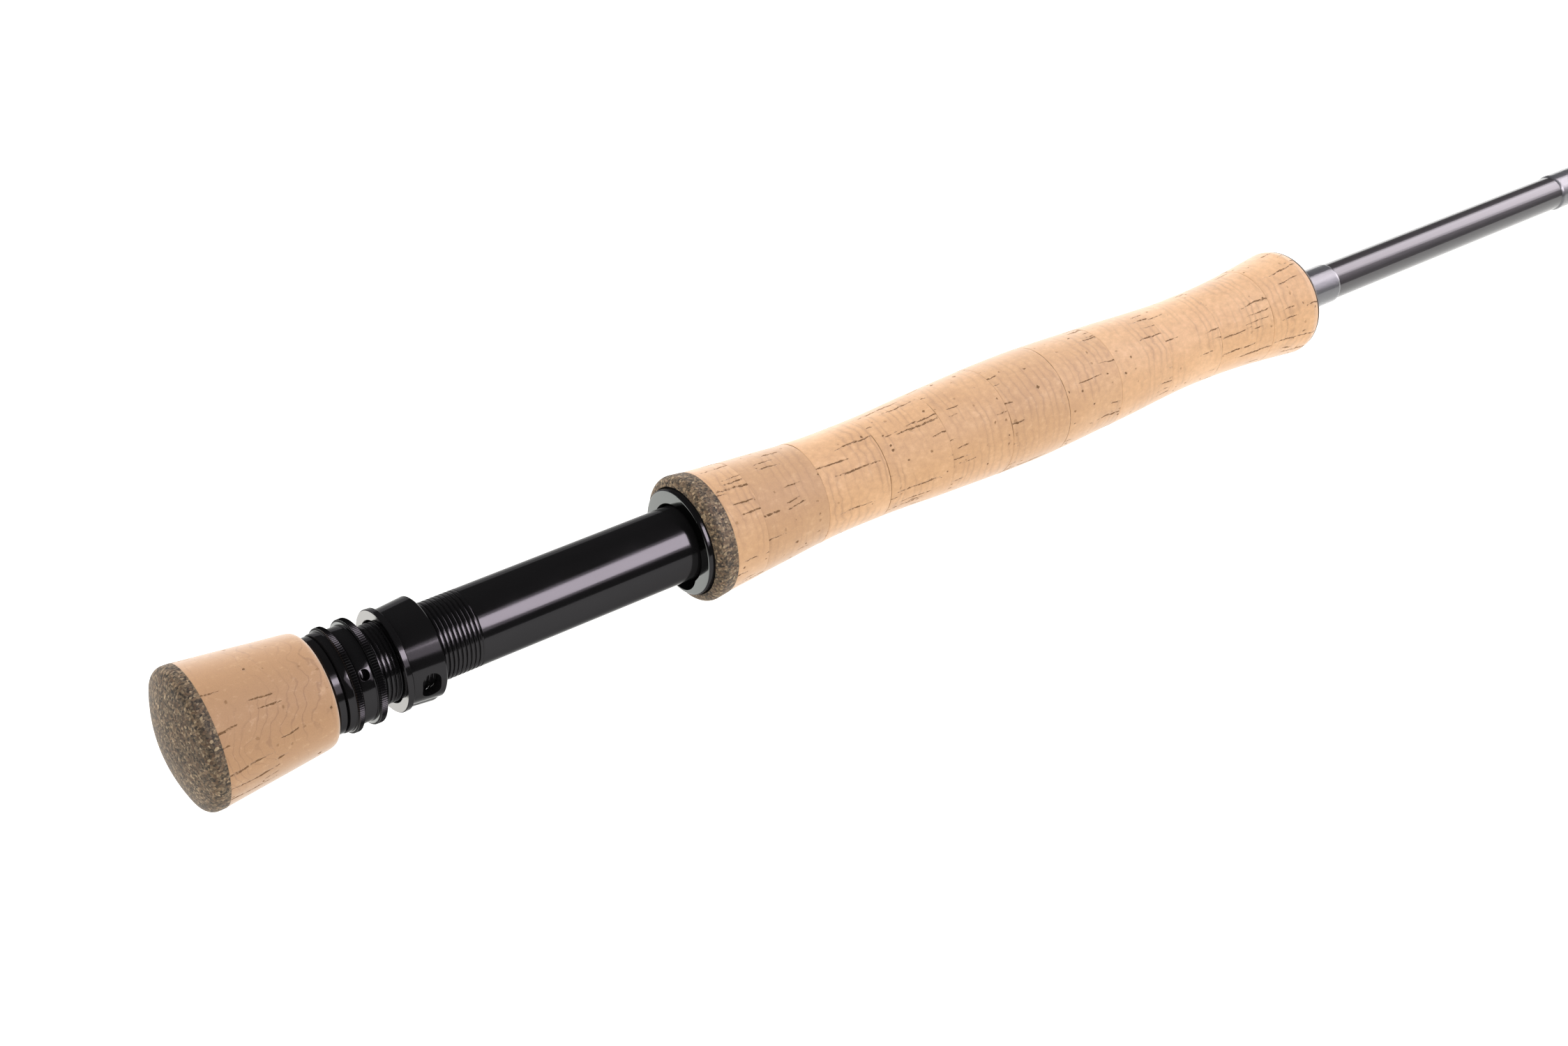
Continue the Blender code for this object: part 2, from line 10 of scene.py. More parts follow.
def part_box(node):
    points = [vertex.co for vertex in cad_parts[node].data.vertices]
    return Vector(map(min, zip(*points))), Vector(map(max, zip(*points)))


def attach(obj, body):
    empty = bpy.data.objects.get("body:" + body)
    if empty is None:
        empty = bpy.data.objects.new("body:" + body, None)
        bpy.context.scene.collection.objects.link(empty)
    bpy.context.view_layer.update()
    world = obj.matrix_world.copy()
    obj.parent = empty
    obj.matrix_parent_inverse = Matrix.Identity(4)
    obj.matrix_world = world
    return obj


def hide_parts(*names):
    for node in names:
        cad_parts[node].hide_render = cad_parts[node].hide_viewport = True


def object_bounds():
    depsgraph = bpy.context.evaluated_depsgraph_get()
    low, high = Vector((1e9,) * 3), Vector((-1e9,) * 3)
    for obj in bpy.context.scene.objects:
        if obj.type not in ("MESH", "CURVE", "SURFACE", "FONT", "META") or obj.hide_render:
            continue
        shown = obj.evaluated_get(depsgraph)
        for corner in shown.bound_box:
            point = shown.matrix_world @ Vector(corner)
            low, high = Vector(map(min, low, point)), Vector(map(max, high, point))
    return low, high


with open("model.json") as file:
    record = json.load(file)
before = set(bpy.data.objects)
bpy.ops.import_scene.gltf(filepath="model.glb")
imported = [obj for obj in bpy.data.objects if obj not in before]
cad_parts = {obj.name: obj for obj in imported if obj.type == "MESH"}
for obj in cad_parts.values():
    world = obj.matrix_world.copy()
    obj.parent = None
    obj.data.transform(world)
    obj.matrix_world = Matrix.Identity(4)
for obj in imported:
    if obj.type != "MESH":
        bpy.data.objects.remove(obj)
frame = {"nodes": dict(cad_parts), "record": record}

CAD_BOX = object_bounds()
MM = 0.001
BUTT_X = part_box("butt_cap")[0].x
TUBE_LOW, TUBE_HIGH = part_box("seat_barrel")
AXIS_Z = (TUBE_LOW.z + TUBE_HIGH.z) / 2
TUBE_RADIUS = (TUBE_HIGH.z - TUBE_LOW.z) / 2 / MM

# All other lengths are in millimetres, and places along the rod are measured from the butt end.
PITCH = 1.06  # of the reel seat's thread
THREAD_START, THREAD_END, THREAD_DEPTH = 33.0, 69.0, 0.42
BLANK_DIAMETER, BLANK_MEASURED_AT, BLANK_TAPER = 10.04, 365, 0.00294
UNROLL_RADIUS = 13.2  # turns an angle into a distance around the cork
GLUE_LINE = 0.15  # how far a cork ring reaches into the gap beside it
FOOT_GAP = 0.15  # between the blank and a guide's foot
POCKET_DROP = 5.0  # the middle of the reel foot's pocket, below the rod's axis
NO_JOINT = -50


def at(along):
    """X of a distance from the butt end, in millimetres."""
    return BUTT_X + along * MM


def along_of(node):
    """Where a CAD node starts and ends, in millimetres from the butt end."""
    low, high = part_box(node)
    return (low.x - BUTT_X) / MM, (high.x - BUTT_X) / MM


def middle_of(node):
    """Where the middle of a CAD node is, in millimetres from the butt end."""
    low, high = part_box(node)
    return ((low.x + high.x) / 2 - BUTT_X) / MM


def blank_radius(along):
    return (BLANK_DIAMETER - BLANK_TAPER * (along - BLANK_MEASURED_AT)) / 2


# ---------------------------------------------------------------- materials

class Shader:
    """A material with its nodes, built one call at a time."""

    def __init__(self, name):
        self.material = bpy.data.materials.new(name)
        self.material.use_nodes = True
        self.tree = self.material.node_tree
        self.bsdf = self.tree.nodes["Principled BSDF"]

    def set(self, **values):
        for name, value in values.items():
            socket = self.bsdf.inputs[name.replace("_", " ")]
            if isinstance(value, bpy.types.NodeSocket):
                self.tree.links.new(value, socket)
            elif socket.type == "RGBA" and len(value) == 3:
                socket.default_value = (*value, 1.0)
            else:
                socket.default_value = value
        return self.material

    def node(self, kind, inputs=None, out=0, **props):
        made = self.tree.nodes.new("ShaderNode" + kind)
        for name, value in props.items():
            setattr(made, name, value)
        for key, value in (inputs or {}).items():
            if isinstance(value, bpy.types.NodeSocket):
                self.tree.links.new(value, made.inputs[key])
            else:
                made.inputs[key].default_value = value
        return made.outputs[out]

    def math(self, operation, a, b=0.0):
        return self.node("Math", {0: a, 1: b}, operation=operation)

    def times(self, a, b):
        return self.math("MULTIPLY", a, b)

    def plus(self, a, b):
        return self.math("ADD", a, b)

    def place(self, scale, offset=(0, 0, 0), jitter=None):
        """Object coordinates in millimetres times a scale for each axis, shifted by a socket's amount."""
        coords = self.node("TexCoord", out=3)
        if jitter is not None:
            far = self.node("VectorMath", {0: (0.311, 0.173, 0.127), "Scale": jitter}, operation="SCALE")
            coords = self.node("VectorMath", {0: coords, 1: far}, operation="ADD")
        return self.node("Mapping", {"Vector": coords, "Location": offset,
            "Scale": tuple(1000 * s for s in scale)})

    def unrolled(self):
        """Distances along the rod and around it, in millimetres. The cut lies underneath."""
        coords = self.place((1, 1, 1), offset=(0, 0, -1000 * AXIS_Z))
        split = self.tree.nodes.new("ShaderNodeSeparateXYZ")
        self.tree.links.new(coords, split.inputs[0])
        angle = self.math("ARCTAN2", split.outputs[1], split.outputs[2])
        return split.outputs[0], self.times(angle, UNROLL_RADIUS)

    def noise(self, vector, detail=2.0, rough=0.5):
        return self.node("TexNoise", {"Vector": vector, "Scale": 1.0, "Detail": detail, "Roughness": rough})

    def grain(self, scale, offset=(0, 0, 0), jitter=None, detail=2.0, rough=0.5):
        """Noise in the object's space, with a scale per millimetre for each axis."""
        return self.noise(self.place(scale, offset, jitter), detail, rough)

    def cells(self, vector, out=0, **props):
        """Voronoi cells: the distance to the nearest point, or with out=1 a random colour for each cell."""
        return self.node("TexVoronoi", {"Vector": vector, "Scale": 1.0, "Randomness": 1.0}, out, **props)

    def split(self, colour):
        parts = self.tree.nodes.new("ShaderNodeSeparateColor")
        self.tree.links.new(colour, parts.inputs[0])
        return parts.outputs

    def ramp(self, value, stops):
        made = self.tree.nodes.new("ShaderNodeValToRGB")
        elements = made.color_ramp.elements
        while len(elements) > 1:
            elements.remove(elements[-1])
        for i, (position, colour) in enumerate(stops):
            element = elements[0] if i == 0 else elements.new(position)
            element.position = position
            element.color = (*colour, 1.0) if isinstance(colour, tuple) else (colour, colour, colour, 1.0)
        self.tree.links.new(value, made.inputs[0])
        return made.outputs[0]

    def range(self, value, low, high, to_low=0.0, to_high=1.0):
        return self.node("MapRange", {"Value": value, "From Min": low, "From Max": high, "To Min": to_low,
            "To Max": to_high}, clamp=True)

    def mix(self, factor, a, b, blend="MIX"):
        made = self.tree.nodes.new("ShaderNodeMix")
        made.data_type = "RGBA"
        made.blend_type = blend
        for socket, value in ((made.inputs[0], factor), (made.inputs[6], a), (made.inputs[7], b)):
            if isinstance(value, bpy.types.NodeSocket):
                self.tree.links.new(value, socket)
            else:
                socket.default_value = (*value, 1.0) if isinstance(value, tuple) else value
        return made.outputs[2]

    def bump(self, height, distance, strength):
        return self.node("Bump", {"Height": height, "Distance": distance, "Strength": strength})

    def attribute(self, name):
        return self.node("Attribute", out=2, attribute_name=name)


def cork_material():
    s = Shader("cork natural")
    seed, tone, edge, warp_by = (s.attribute(name) for name in ("seed", "tone", "edge", "warp"))
    x, arc_mm = s.unrolled()
    own = s.times(seed, 3.71)

    def flat(length, width, drift=0.0, wobble=None):
        """The unrolled surface, along over length and around over width, and other for each piece."""
        across = arc_mm if wobble is None else s.plus(arc_mm, wobble)
        u = s.plus(s.math("DIVIDE", x, length), s.plus(s.times(own, 1.7), drift))
        v = s.plus(s.math("DIVIDE", across, width), own)
        return s.node("CombineXYZ", {0: u, 1: v})

    # broad patches of paler and darker bark
    patches = s.grain((0.05, 0.09, 0.09), jitter=seed, detail=3.0, rough=0.55)
    base = s.ramp(patches, [(0.30, (0.670, 0.372, 0.174)), (0.50, (0.735, 0.416, 0.197)),
        (0.72, (0.785, 0.462, 0.234))])
    base = s.mix(tone, base, (0.425, 0.232, 0.108))

    # growth lines, which run around the piece
    bend = s.grain((0.03, 0.075, 0.075), jitter=seed)
    ripple = s.grain((0.4, 0.5, 0.5), jitter=seed, detail=3.0)
    uneven = s.noise(s.node("CombineXYZ", {0: s.times(x, 0.22)}))
    phase = s.plus(s.times(x, 0.44), s.times(s.times(bend, 2.6), warp_by))
    phase = s.plus(phase, s.times(ripple, 0.70))
    phase = s.plus(phase, s.times(uneven, 2.2))
    wave = s.math("SINE", s.times(phase, 2 * pi))
    shown = s.range(s.grain((0.10, 0.07, 0.07), offset=(7, 3, 1), jitter=seed), 0.38, 0.62)
    soft = s.times(s.range(wave, -0.6, 1.0), shown)
    line = s.times(s.range(wave, 0.80, 1.0), shown)
    base = s.mix(s.times(soft, 0.32), base, (0.420, 0.226, 0.108))
    base = s.mix(s.times(line, s.range(warp_by, 1.0, 3.0, 0.24, 0.60)), base, (0.285, 0.145, 0.070))
    mottle = s.grain((0.55, 0.75, 0.75), jitter=seed, detail=5.0, rough=0.68)
    base = s.mix(s.range(mottle, 0.42, 0.70, 0.0, 0.34), base, (0.405, 0.222, 0.118))
    base = s.mix(s.range(mottle, 0.44, 0.26, 0.0, 0.22), base, (0.860, 0.580, 0.360))

    # lenticels: thin dark channels along the rod, swollen in places and broken into dashes
    sway = s.times(s.grain((0.10, 0.22, 0.22), jitter=seed), 2.4)
    shake = s.times(s.grain((1.3, 1.3, 1.3), jitter=seed, detail=3.0, rough=0.7), 0.55)
    dents = s.grain((0.95, 1.6, 1.6), jitter=seed, detail=4.0, rough=0.75)
    few = s.math("FRACT", s.times(seed, 0.618))

    def channels(length, width, drift, share, thin, thick):
        place = flat(length, width, drift, s.plus(sway, shake))
        distance = s.cells(place, voronoi_dimensions="2D")
        parts = s.split(s.cells(place, out=1, voronoi_dimensions="2D"))
        least = s.plus(s.times(few, 0.26), share - 0.08)
        chosen = s.math("GREATER_THAN", parts[0], least)
        reach = s.range(parts[1], 0.0, 1.0, thin, thick)
        swell = s.times(reach, s.range(dents, 0.28, 0.70, 0.25, 1.15))
        depth = s.math("SUBTRACT", swell, distance)
        return s.times(s.range(depth, 0.0, thin * 0.42), chosen)

    long_ones = channels(50.0, 1.8, 0.0, 0.52, 0.12, 0.22)
    short_ones = channels(24.0, 1.9, 0.37, 0.64, 0.10, 0.17)
    channel = s.math("MAXIMUM", long_ones, short_ones)
    dashes = s.range(dents, 0.40, 0.52, 0.12, 1.0)
    channel = s.times(channel, dashes)

    # small pits, in groups, and fine pores
    group = s.range(s.grain((0.10, 0.10, 0.10), offset=(2, 8, 5), jitter=seed), 0.46, 0.56, 0.35, 1.0)
    pit = s.times(channels(3.4, 2.9, 0.71, 0.78, 0.11, 0.20), group)
    pores = s.range(s.grain((2.6, 3.4, 3.4), jitter=seed, detail=3.0, rough=0.7), 0.62, 0.72)

    # the joint between two pieces shows in places, as a ragged line
    ragged = s.grain((0.8, 0.55, 0.55), offset=(1, 4, 8), detail=5.0, rough=0.75)
    some = s.range(s.grain((0.06, 0.075, 0.075), offset=(4, 1, 6), detail=1.0), 0.52, 0.60)
    glue = s.times(s.range(s.plus(edge, s.times(ragged, 0.9)), 1.08, 1.30), some)
    faint = s.times(s.range(edge, 0.60, 1.0), 0.09)

    dark = s.math("MAXIMUM", s.times(channel, 0.88), s.times(pit, 0.84))
    dark = s.math("MAXIMUM", dark, s.times(pores, 0.20))
    dark = s.math("MAXIMUM", dark, s.math("MAXIMUM", s.times(glue, 0.62), faint))
    colour = s.mix(dark, base, (0.150, 0.078, 0.038))
    fine = s.grain((7.0, 7.0, 7.0))
    colour = s.mix(0.16, colour, s.ramp(fine, [(0.3, 0.28), (0.7, 0.74)]), "OVERLAY")

    deep = s.math("MAXIMUM", channel, s.math("MAXIMUM", pit, s.times(glue, 0.6)))
    height = s.math("SUBTRACT", s.times(fine, 0.14), deep)
    normal = s.bump(height, 0.00014, 0.7)
    return s.set(Base_Color=colour, Roughness=s.range(mottle, 0.3, 0.7, 0.60, 0.76), Normal=normal,
        Specular_IOR_Level=s.range(dark, 0.0, 0.6, 0.30, 0.05),
        Sheen_Weight=s.range(dark, 0.0, 0.5, 0.80, 0.05), Sheen_Roughness=0.42,
        Sheen_Tint=(1.0, 0.97, 0.93, 1.0))


def burl_material():
    s = Shader("cork burl composite")
    shift = s.grain((1.4, 1.4, 1.4))
    by = s.node("VectorMath", {0: (0.6, 0.6, 0.6), "Scale": shift}, operation="SCALE")
    where = s.node("VectorMath", {0: s.place((1.60, 1.85, 1.85)), 1: by}, operation="ADD")
    granules = s.split(s.cells(where, out=1))
    pick, second = granules[0], granules[1]
    colour = s.ramp(pick, [(0.0, (0.016, 0.011, 0.007)), (0.25, (0.040, 0.028, 0.017)),
        (0.48, (0.092, 0.063, 0.036)), (0.70, (0.185, 0.126, 0.070)),
        (0.88, (0.335, 0.230, 0.130)), (1.0, (0.560, 0.415, 0.250))])
    colour = s.mix(s.range(second, 0.66, 0.74, 0.0, 0.40), colour, (0.240, 0.125, 0.062))
    small = s.split(s.cells(s.place((2.4, 3.0, 3.0), offset=(3, 3, 3)), out=1))[1]
    crumbs = s.ramp(small, [(0.0, (0.012, 0.008, 0.005)), (0.50, (0.060, 0.041, 0.024)),
        (0.80, (0.190, 0.132, 0.078)), (1.0, (0.520, 0.390, 0.250))])
    colour = s.mix(0.34, colour, crumbs)
    binder = s.cells(where, feature="DISTANCE_TO_EDGE")
    seam = s.range(binder, 0.08, 0.0)
    colour = s.mix(s.times(seam, 0.50), colour, (0.050, 0.038, 0.027))
    veil = s.range(s.grain((0.13, 0.13, 0.13), detail=3.0), 0.35, 0.65)
    colour = s.mix(s.times(veil, 0.22), colour, (0.072, 0.055, 0.042))
    height = s.math("SUBTRACT", s.times(pick, 0.5), s.times(seam, 0.8))
    fine = s.grain((6.0, 6.0, 6.0))
    normal = s.bump(s.plus(height, s.times(fine, 0.4)), 0.00008, 0.7)
    return s.set(Base_Color=colour, Roughness=0.66, Normal=normal, Specular_IOR_Level=0.25,
        Sheen_Weight=0.12, Sheen_Roughness=0.35, Sheen_Tint=(1.0, 0.95, 0.9, 1.0))


def anodised_material(name, low, high, level=0.031):
    """Black dyed aluminium: a weak metallic reflection that stays weak at a slant."""
    s = Shader(name)
    turning = s.grain((14.0, 0.15, 0.15), detail=3.0, rough=0.6)
    smudge = s.grain((0.10, 0.16, 0.16), detail=3.0)
    rough = s.plus(s.range(smudge, 0.3, 0.7, low, high), s.times(turning, 0.04))
    dark, light = (tuple(level * part for part in shade) for shade in ((0.94, 0.91, 0.96), (1.06, 1.02, 1.08)))
    colour = s.mix(smudge, dark, light)
    normal = s.bump(turning, 0.000004, 0.4)
    return s.set(Base_Color=colour, Roughness=rough, Normal=normal, Metallic=0.78,
        Specular_Tint=(0.42, 0.42, 0.42, 1.0), Specular_IOR_Level=0.12)


def turned_face_material(name, low, high):
    """The flanges' rear faces, which are polished flat: the lathe's rings only just show."""
    s = Shader(name)
    coords = s.node("TexCoord", out=3)
    offset = s.node("VectorMath", {0: coords, 1: (0, 0, -AXIS_Z)}, operation="ADD")
    plane = s.node("VectorMath", {0: offset, 1: (0.0, 1.0, 1.0)}, operation="MULTIPLY")
    radius = s.times(s.node("VectorMath", {0: plane}, out=1, operation="LENGTH"), 1000.0)
    rings = s.noise(s.node("CombineXYZ", {0: s.times(radius, 9.0)}), detail=3.0)
    colour = s.mix(rings, low, high)
    rough = s.range(rings, 0.3, 0.7, 0.07, 0.12)
    normal = s.bump(rings, 0.000004, 0.3)
    return s.set(Base_Color=colour, Metallic=1.0, Roughness=rough, Normal=normal)


def rubber_material():
    s = Shader("rubber black")
    grain = s.grain((6.0, 6.0, 6.0), detail=3.0)
    colour = s.mix(grain, (0.010, 0.010, 0.011), (0.022, 0.021, 0.022))
    rough = s.range(grain, 0.3, 0.7, 0.40, 0.58)
    return s.set(Base_Color=colour, Roughness=rough, Normal=s.bump(grain, 0.00003, 0.6))


def trim_material():
    s = Shader("trim dark composite")
    grain = s.grain((3.0, 3.0, 3.0), detail=4.0, rough=0.7)
    colour = s.mix(s.range(grain, 0.35, 0.65), (0.030, 0.022, 0.017), (0.110, 0.078, 0.055))
    return s.set(Base_Color=colour, Roughness=0.6, Normal=s.bump(grain, 0.00004, 0.6))


def foam_material():
    s = Shader("arbor foam")
    cells = s.cells(s.place((3.0, 3.0, 3.0)))
    colour = s.mix(cells, (0.32, 0.28, 0.21), (0.52, 0.47, 0.38))
    return s.set(Base_Color=colour, Roughness=0.85, Normal=s.bump(cells, 0.0002, 0.5))


def blank_material():
    s = Shader("blank lacquered graphite")
    cloud = s.grain((0.12, 0.35, 0.35), detail=3.0, rough=0.55)
    fibre = s.grain((0.08, 5.0, 5.0))
    colour = s.mix(cloud, (0.0200, 0.0170, 0.0195), (0.0340, 0.0295, 0.0320))
    colour = s.mix(s.range(fibre, 0.45, 0.75, 0.0, 0.25), colour, (0.060, 0.052, 0.056))
    level = s.bump(s.grain((0.05, 0.22, 0.22), detail=1.0), 0.00002, 0.25)
    return s.set(Base_Color=colour, Roughness=0.38, Metallic=0.0, Specular_IOR_Level=0.25,
        Coat_Weight=1.0, Coat_Roughness=0.085, Coat_IOR=1.50, Coat_Normal=level)


def thread_material():
    s = Shader("wrap silver thread")
    light, dark = (0.108, 0.108, 0.119), (0.055, 0.055, 0.062)
    thickness = 0.24
    x = s.node("SeparateXYZ", {0: s.place((1.0, 1, 1))})
    slip = s.grain((0.25, 0.30, 0.30))
    turns = s.times(s.plus(x, s.times(slip, 0.25)), 2 * pi / thickness)
    turn = s.math("SINE", turns)
    # Each groove between turns is painted darker: painted shade where the turns meet.
    groove = s.range(turn, -1.0, 0.4)
    cloud = s.grain((0.22, 0.35, 0.35), detail=3.0)
    colour = s.mix(groove, dark, light)
    colour = s.mix(s.range(cloud, 0.35, 0.7, 0.0, 0.35), colour, dark)
    normal = s.bump(turn, 0.00003, 0.5)
    smooth = s.bump(s.grain((0.10, 0.25, 0.25), detail=1.0), 0.00003, 0.35)
    return s.set(Base_Color=colour, Roughness=0.35, Metallic=0.25, Normal=normal,
        Coat_Weight=1.0, Coat_Roughness=0.075, Coat_IOR=1.50, Coat_Normal=smooth)


def steel_material():
    s = Shader("guide chromed steel")
    wipe = s.grain((0.8, 1.4, 1.4), detail=3.0)
    colour = s.mix(wipe, (0.50, 0.50, 0.53), (0.66, 0.66, 0.68))
    return s.set(Base_Color=colour, Metallic=1.0, Roughness=s.range(wipe, 0.3, 0.7, 0.14, 0.26))


def ceramic_material():
    s = Shader("ring grey ceramic")
    fleck = s.grain((3.0, 3.0, 3.0), detail=3.0)
    colour = s.mix(fleck, (0.070, 0.072, 0.078), (0.115, 0.116, 0.124))
    return s.set(Base_Color=colour, Roughness=s.range(fleck, 0.3, 0.7, 0.06, 0.12), IOR=2.1)


CORK = cork_material()
BURL = burl_material()
ANODISED = anodised_material("aluminium black anodised", 0.075, 0.115)
# Knurled rims: a rougher copy of the black anodised finish, also made darker as painted shade that dims their
# highlight.
KNURL_PAINTED_DARKER = anodised_material("aluminium black knurl painted darker", 0.15, 0.20, 0.017)
FACE = turned_face_material("aluminium turned face", (0.150, 0.156, 0.152), (0.180, 0.186, 0.181))
# A lighter copy of the same turned face, for the sliding hood: painted reflection that makes its face brighter than
# the rings'.
FACE_PAINTED_LIGHTER = turned_face_material("aluminium turned face painted lighter", (0.270, 0.264, 0.255), (0.310, 0.303, 0.294))
RUBBER = rubber_material()
TRIM = trim_material()
FOAM = foam_material()
BLANK = blank_material()
THREAD = thread_material()
STEEL = steel_material()
CERAMIC = ceramic_material()


# ---------------------------------------------------------------- mesh tools

def finish_mesh(name, vertices, faces, material, body, nodes=(), sharp=32):
    """Makes a closed mesh, and unless body is None lets it ride on that CAD body."""
    mesh = bpy.data.meshes.new(name)
    mesh.from_pydata([tuple(v) for v in vertices], [], faces)
    mesh.validate()
    bm = bmesh.new()
    bm.from_mesh(mesh)
    bmesh.ops.remove_doubles(bm, verts=bm.verts, dist=1e-7)
    bmesh.ops.recalc_face_normals(bm, faces=bm.faces)
    bm.to_mesh(mesh)
    bm.free()
    mesh.shade_smooth()
    mesh.set_sharp_from_angle(angle=radians(sharp))
    mesh.materials.append(material)
    piece = bpy.data.objects.new(name, mesh)
    bpy.context.scene.collection.objects.link(piece)
    if body:
        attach(piece, body)
        if nodes:
            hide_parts(*nodes)
    return piece


def lathe(name, outline, sides, material, body, nodes=(), radial=None, sharp=32, closed=True,
        drop=0.0):
    """Turns (along, radius) points in millimetres about the rod's axis. The outline is a closed loop unless its ends
    lie on the axis. radial(along, radius, angle) may change the radius at each point."""
    outline = np.array(outline, float)
    n = len(outline)
    angles = np.linspace(0, 2 * np.pi, sides, endpoint=False)
    vertices = []
    for u, r in outline:
        for a in angles:
            rr = radial(u, r, a) if radial and r > 0 else r
            vertices.append((at(u), rr * MM * sin(a), AXIS_Z - drop * MM + rr * MM * cos(a)))
    faces = []
    rows = n if closed else n - 1
    for i in range(rows):
        j = (i + 1) % n
        if outline[i][1] <= 0 and outline[j][1] <= 0:
            continue
        for k in range(sides):
            m = (k + 1) % sides
            if outline[i][1] <= 0:
                faces.append((i * sides, j * sides + k, j * sides + m))
            elif outline[j][1] <= 0:
                faces.append((i * sides + k, j * sides, i * sides + m))
            else:
                faces.append((i * sides + k, j * sides + k, j * sides + m, i * sides + m))
    return finish_mesh(name, vertices, faces, material, body, nodes, sharp)


def arc(u, r, radius, start, end, steps):
    return [(u + radius * cos(radians(a)), r + radius * sin(radians(a)))
        for a in np.linspace(start, end, steps + 1)]


def hash_noise(seed):
    """A smooth, repeatable random function of (angle, along) for slightly uneven surfaces."""
    rng = np.random.default_rng(seed)
    waves = [(rng.integers(1, 6), rng.uniform(0.05, 0.5), rng.uniform(0, 6.28), rng.uniform(0.4, 1.0))
        for _ in range(9)]
    total = sum(w[3] for w in waves)

    def value(angle, along):
        return sum(a * sin(k * angle + f * along + p) for k, f, p, a in waves) / total
    return value


def tube_along(name, points, radii, material, body, nodes=(), sides=12, flat=None, start_side=(0, 1, 0)):
    """A closed tube through points, in metres. flat(i) squashes it towards the blank at a foot."""
    points = [Vector(p) for p in points]
    side = Vector(start_side)
    vertices, faces = [], []
    for i, point in enumerate(points):
        forward = (points[min(i + 1, len(points) - 1)] - points[max(i - 1, 0)]).normalized()
        side = (side - forward * side.dot(forward)).normalized()
        up = forward.cross(side)
        wide, high = flat(i) if flat else (1.0, 1.0)
        for k in range(sides):
            a = 2 * pi * k / sides
            across = side * (cos(a) * radii[i] * wide)
            vertices.append(point + across + up * (sin(a) * radii[i] * high))
    for i in range(len(points) - 1):
        for k in range(sides):
            m = (k + 1) % sides
            faces.append((i * sides + k, i * sides + m, (i + 1) * sides + m, (i + 1) * sides + k))
    faces.append(tuple(range(sides)))
    last = (len(points) - 1) * sides
    faces.append(tuple(last + k for k in range(sides)))
    return finish_mesh(name, vertices, faces, material, body, nodes, 50)


def smooth_path(points, steps):
    """A Catmull-Rom curve through points, with steps pieces between each two."""
    pts = [Vector(p) for p in points]
    pts = [pts[0] * 2 - pts[1]] + pts + [pts[-1] * 2 - pts[-2]]
    out = []
    for i in range(1, len(pts) - 2):
        for k in range(steps):
            t = k / steps
            a, b, c, d = pts[i - 1], pts[i], pts[i + 1], pts[i + 2]
            out.append(0.5 * ((2 * b) + (c - a) * t + (2 * a - 5 * b + 4 * c - d) * t * t
                + (3 * b - a - 3 * c + d) * t ** 3))
    out.append(pts[-2])
    return out


def combine(piece, other, operation="DIFFERENCE"):
    """Cuts another mesh from a piece, or with UNION joins it on. settle() applies it."""
    modifier = piece.modifiers.new("combine", "BOOLEAN")
    modifier.operation = operation
    modifier.solver = "EXACT"
    modifier.object = other


def settle(piece, helpers, sharp=30):
    """Applies a piece's modifiers, removes the helpers and cleans the mesh."""
    depsgraph = bpy.context.evaluated_depsgraph_get()
    mesh = bpy.data.meshes.new_from_object(piece.evaluated_get(depsgraph))
    piece.modifiers.clear()
    old = piece.data
    piece.data = mesh
    bpy.data.meshes.remove(old)
    for helper in helpers:
        bpy.data.objects.remove(helper, do_unlink=True)
    bm = bmesh.new()
    bm.from_mesh(mesh)
    bmesh.ops.remove_doubles(bm, verts=bm.verts, dist=1e-7)
    bmesh.ops.dissolve_degenerate(bm, edges=bm.edges, dist=1e-7)
    bm.to_mesh(mesh)
    bm.free()
    mesh.shade_smooth()
    mesh.set_sharp_from_angle(angle=radians(sharp))


def window_cutter(middle, width, height, elevation, side):
    """A round-ended bar in millimetres from the axis out to one side."""
    radius = width / 2
    straight = height / 2 - radius
    corners = []
    for centre, start in ((straight, 0), (-straight, 180)):
        for k in range(13):
            a = radians(start + 180 * k / 12)
            corners.append((middle + radius * cos(a), centre + radius * sin(a)))
    n = len(corners)
    vertices = [(u, 0.0, z) for u, z in corners] + [(u, side * 15.0, z) for u, z in corners]
    faces = [tuple(range(n)), tuple(range(2 * n - 1, n - 1, -1))]
    faces += [(k, (k + 1) % n, n + (k + 1) % n, n + k) for k in range(n)]
    turn = Matrix.Rotation(side * radians(elevation), 4, "X")
    placed = []
    for u, y, z in vertices:
        v = turn @ Vector((0, y, z))
        placed.append((at(u), v.y * MM, AXIS_Z + v.z * MM))
    return finish_mesh("cutter", placed, faces, ANODISED, None)


def drum_helper(start, end, radius, drop, last=None):
    """A solid drum to cut with, below the axis by drop. It is a cone where last, its front radius, differs."""
    outline = [(start, 0), (start, radius), (end, last or radius), (end, 0)]
    return lathe("helper", outline, 128, ANODISED, None, closed=False, drop=drop)


def paint_rear_face(piece, material, before):
    """Gives a second material to the faces that look towards the butt and stand behind a place."""
    piece.data.materials.append(material)
    for polygon in piece.data.polygons:
        if polygon.normal.x < -0.9 and (polygon.center.x - BUTT_X) / MM < before:
            polygon.material_index = 1


# ---------------------------------------------------------------- butt

def butt_cap():
    start, end = along_of("butt_cap")
    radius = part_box("butt_cap")[1].y / MM
    slope, rim, dome = 24, 2.5, 3.1
    middle = (dome + rim * cos(radians(slope)), radius - rim)
    reach = middle[1] + rim * sin(radians(slope))
    outline = [(start, 0)] + [(dome * (k / 16) ** 2, reach * k / 16) for k in range(1, 16)]
    outline += arc(middle[0], middle[1], rim, 180 - slope, 90, 10)
    outline += [(end + 0.12, radius - 0.05), (end + 0.12, 9.9), (end - 1, 0)]
    wobble = hash_noise(3)
    return lathe("butt_cap_burl", outline, 144, BURL, "handle", ["butt_cap"],
        lambda u, r, a: min(r + 0.03 * wobble(a, u), radius) if r > 3 else r, 40, closed=False)


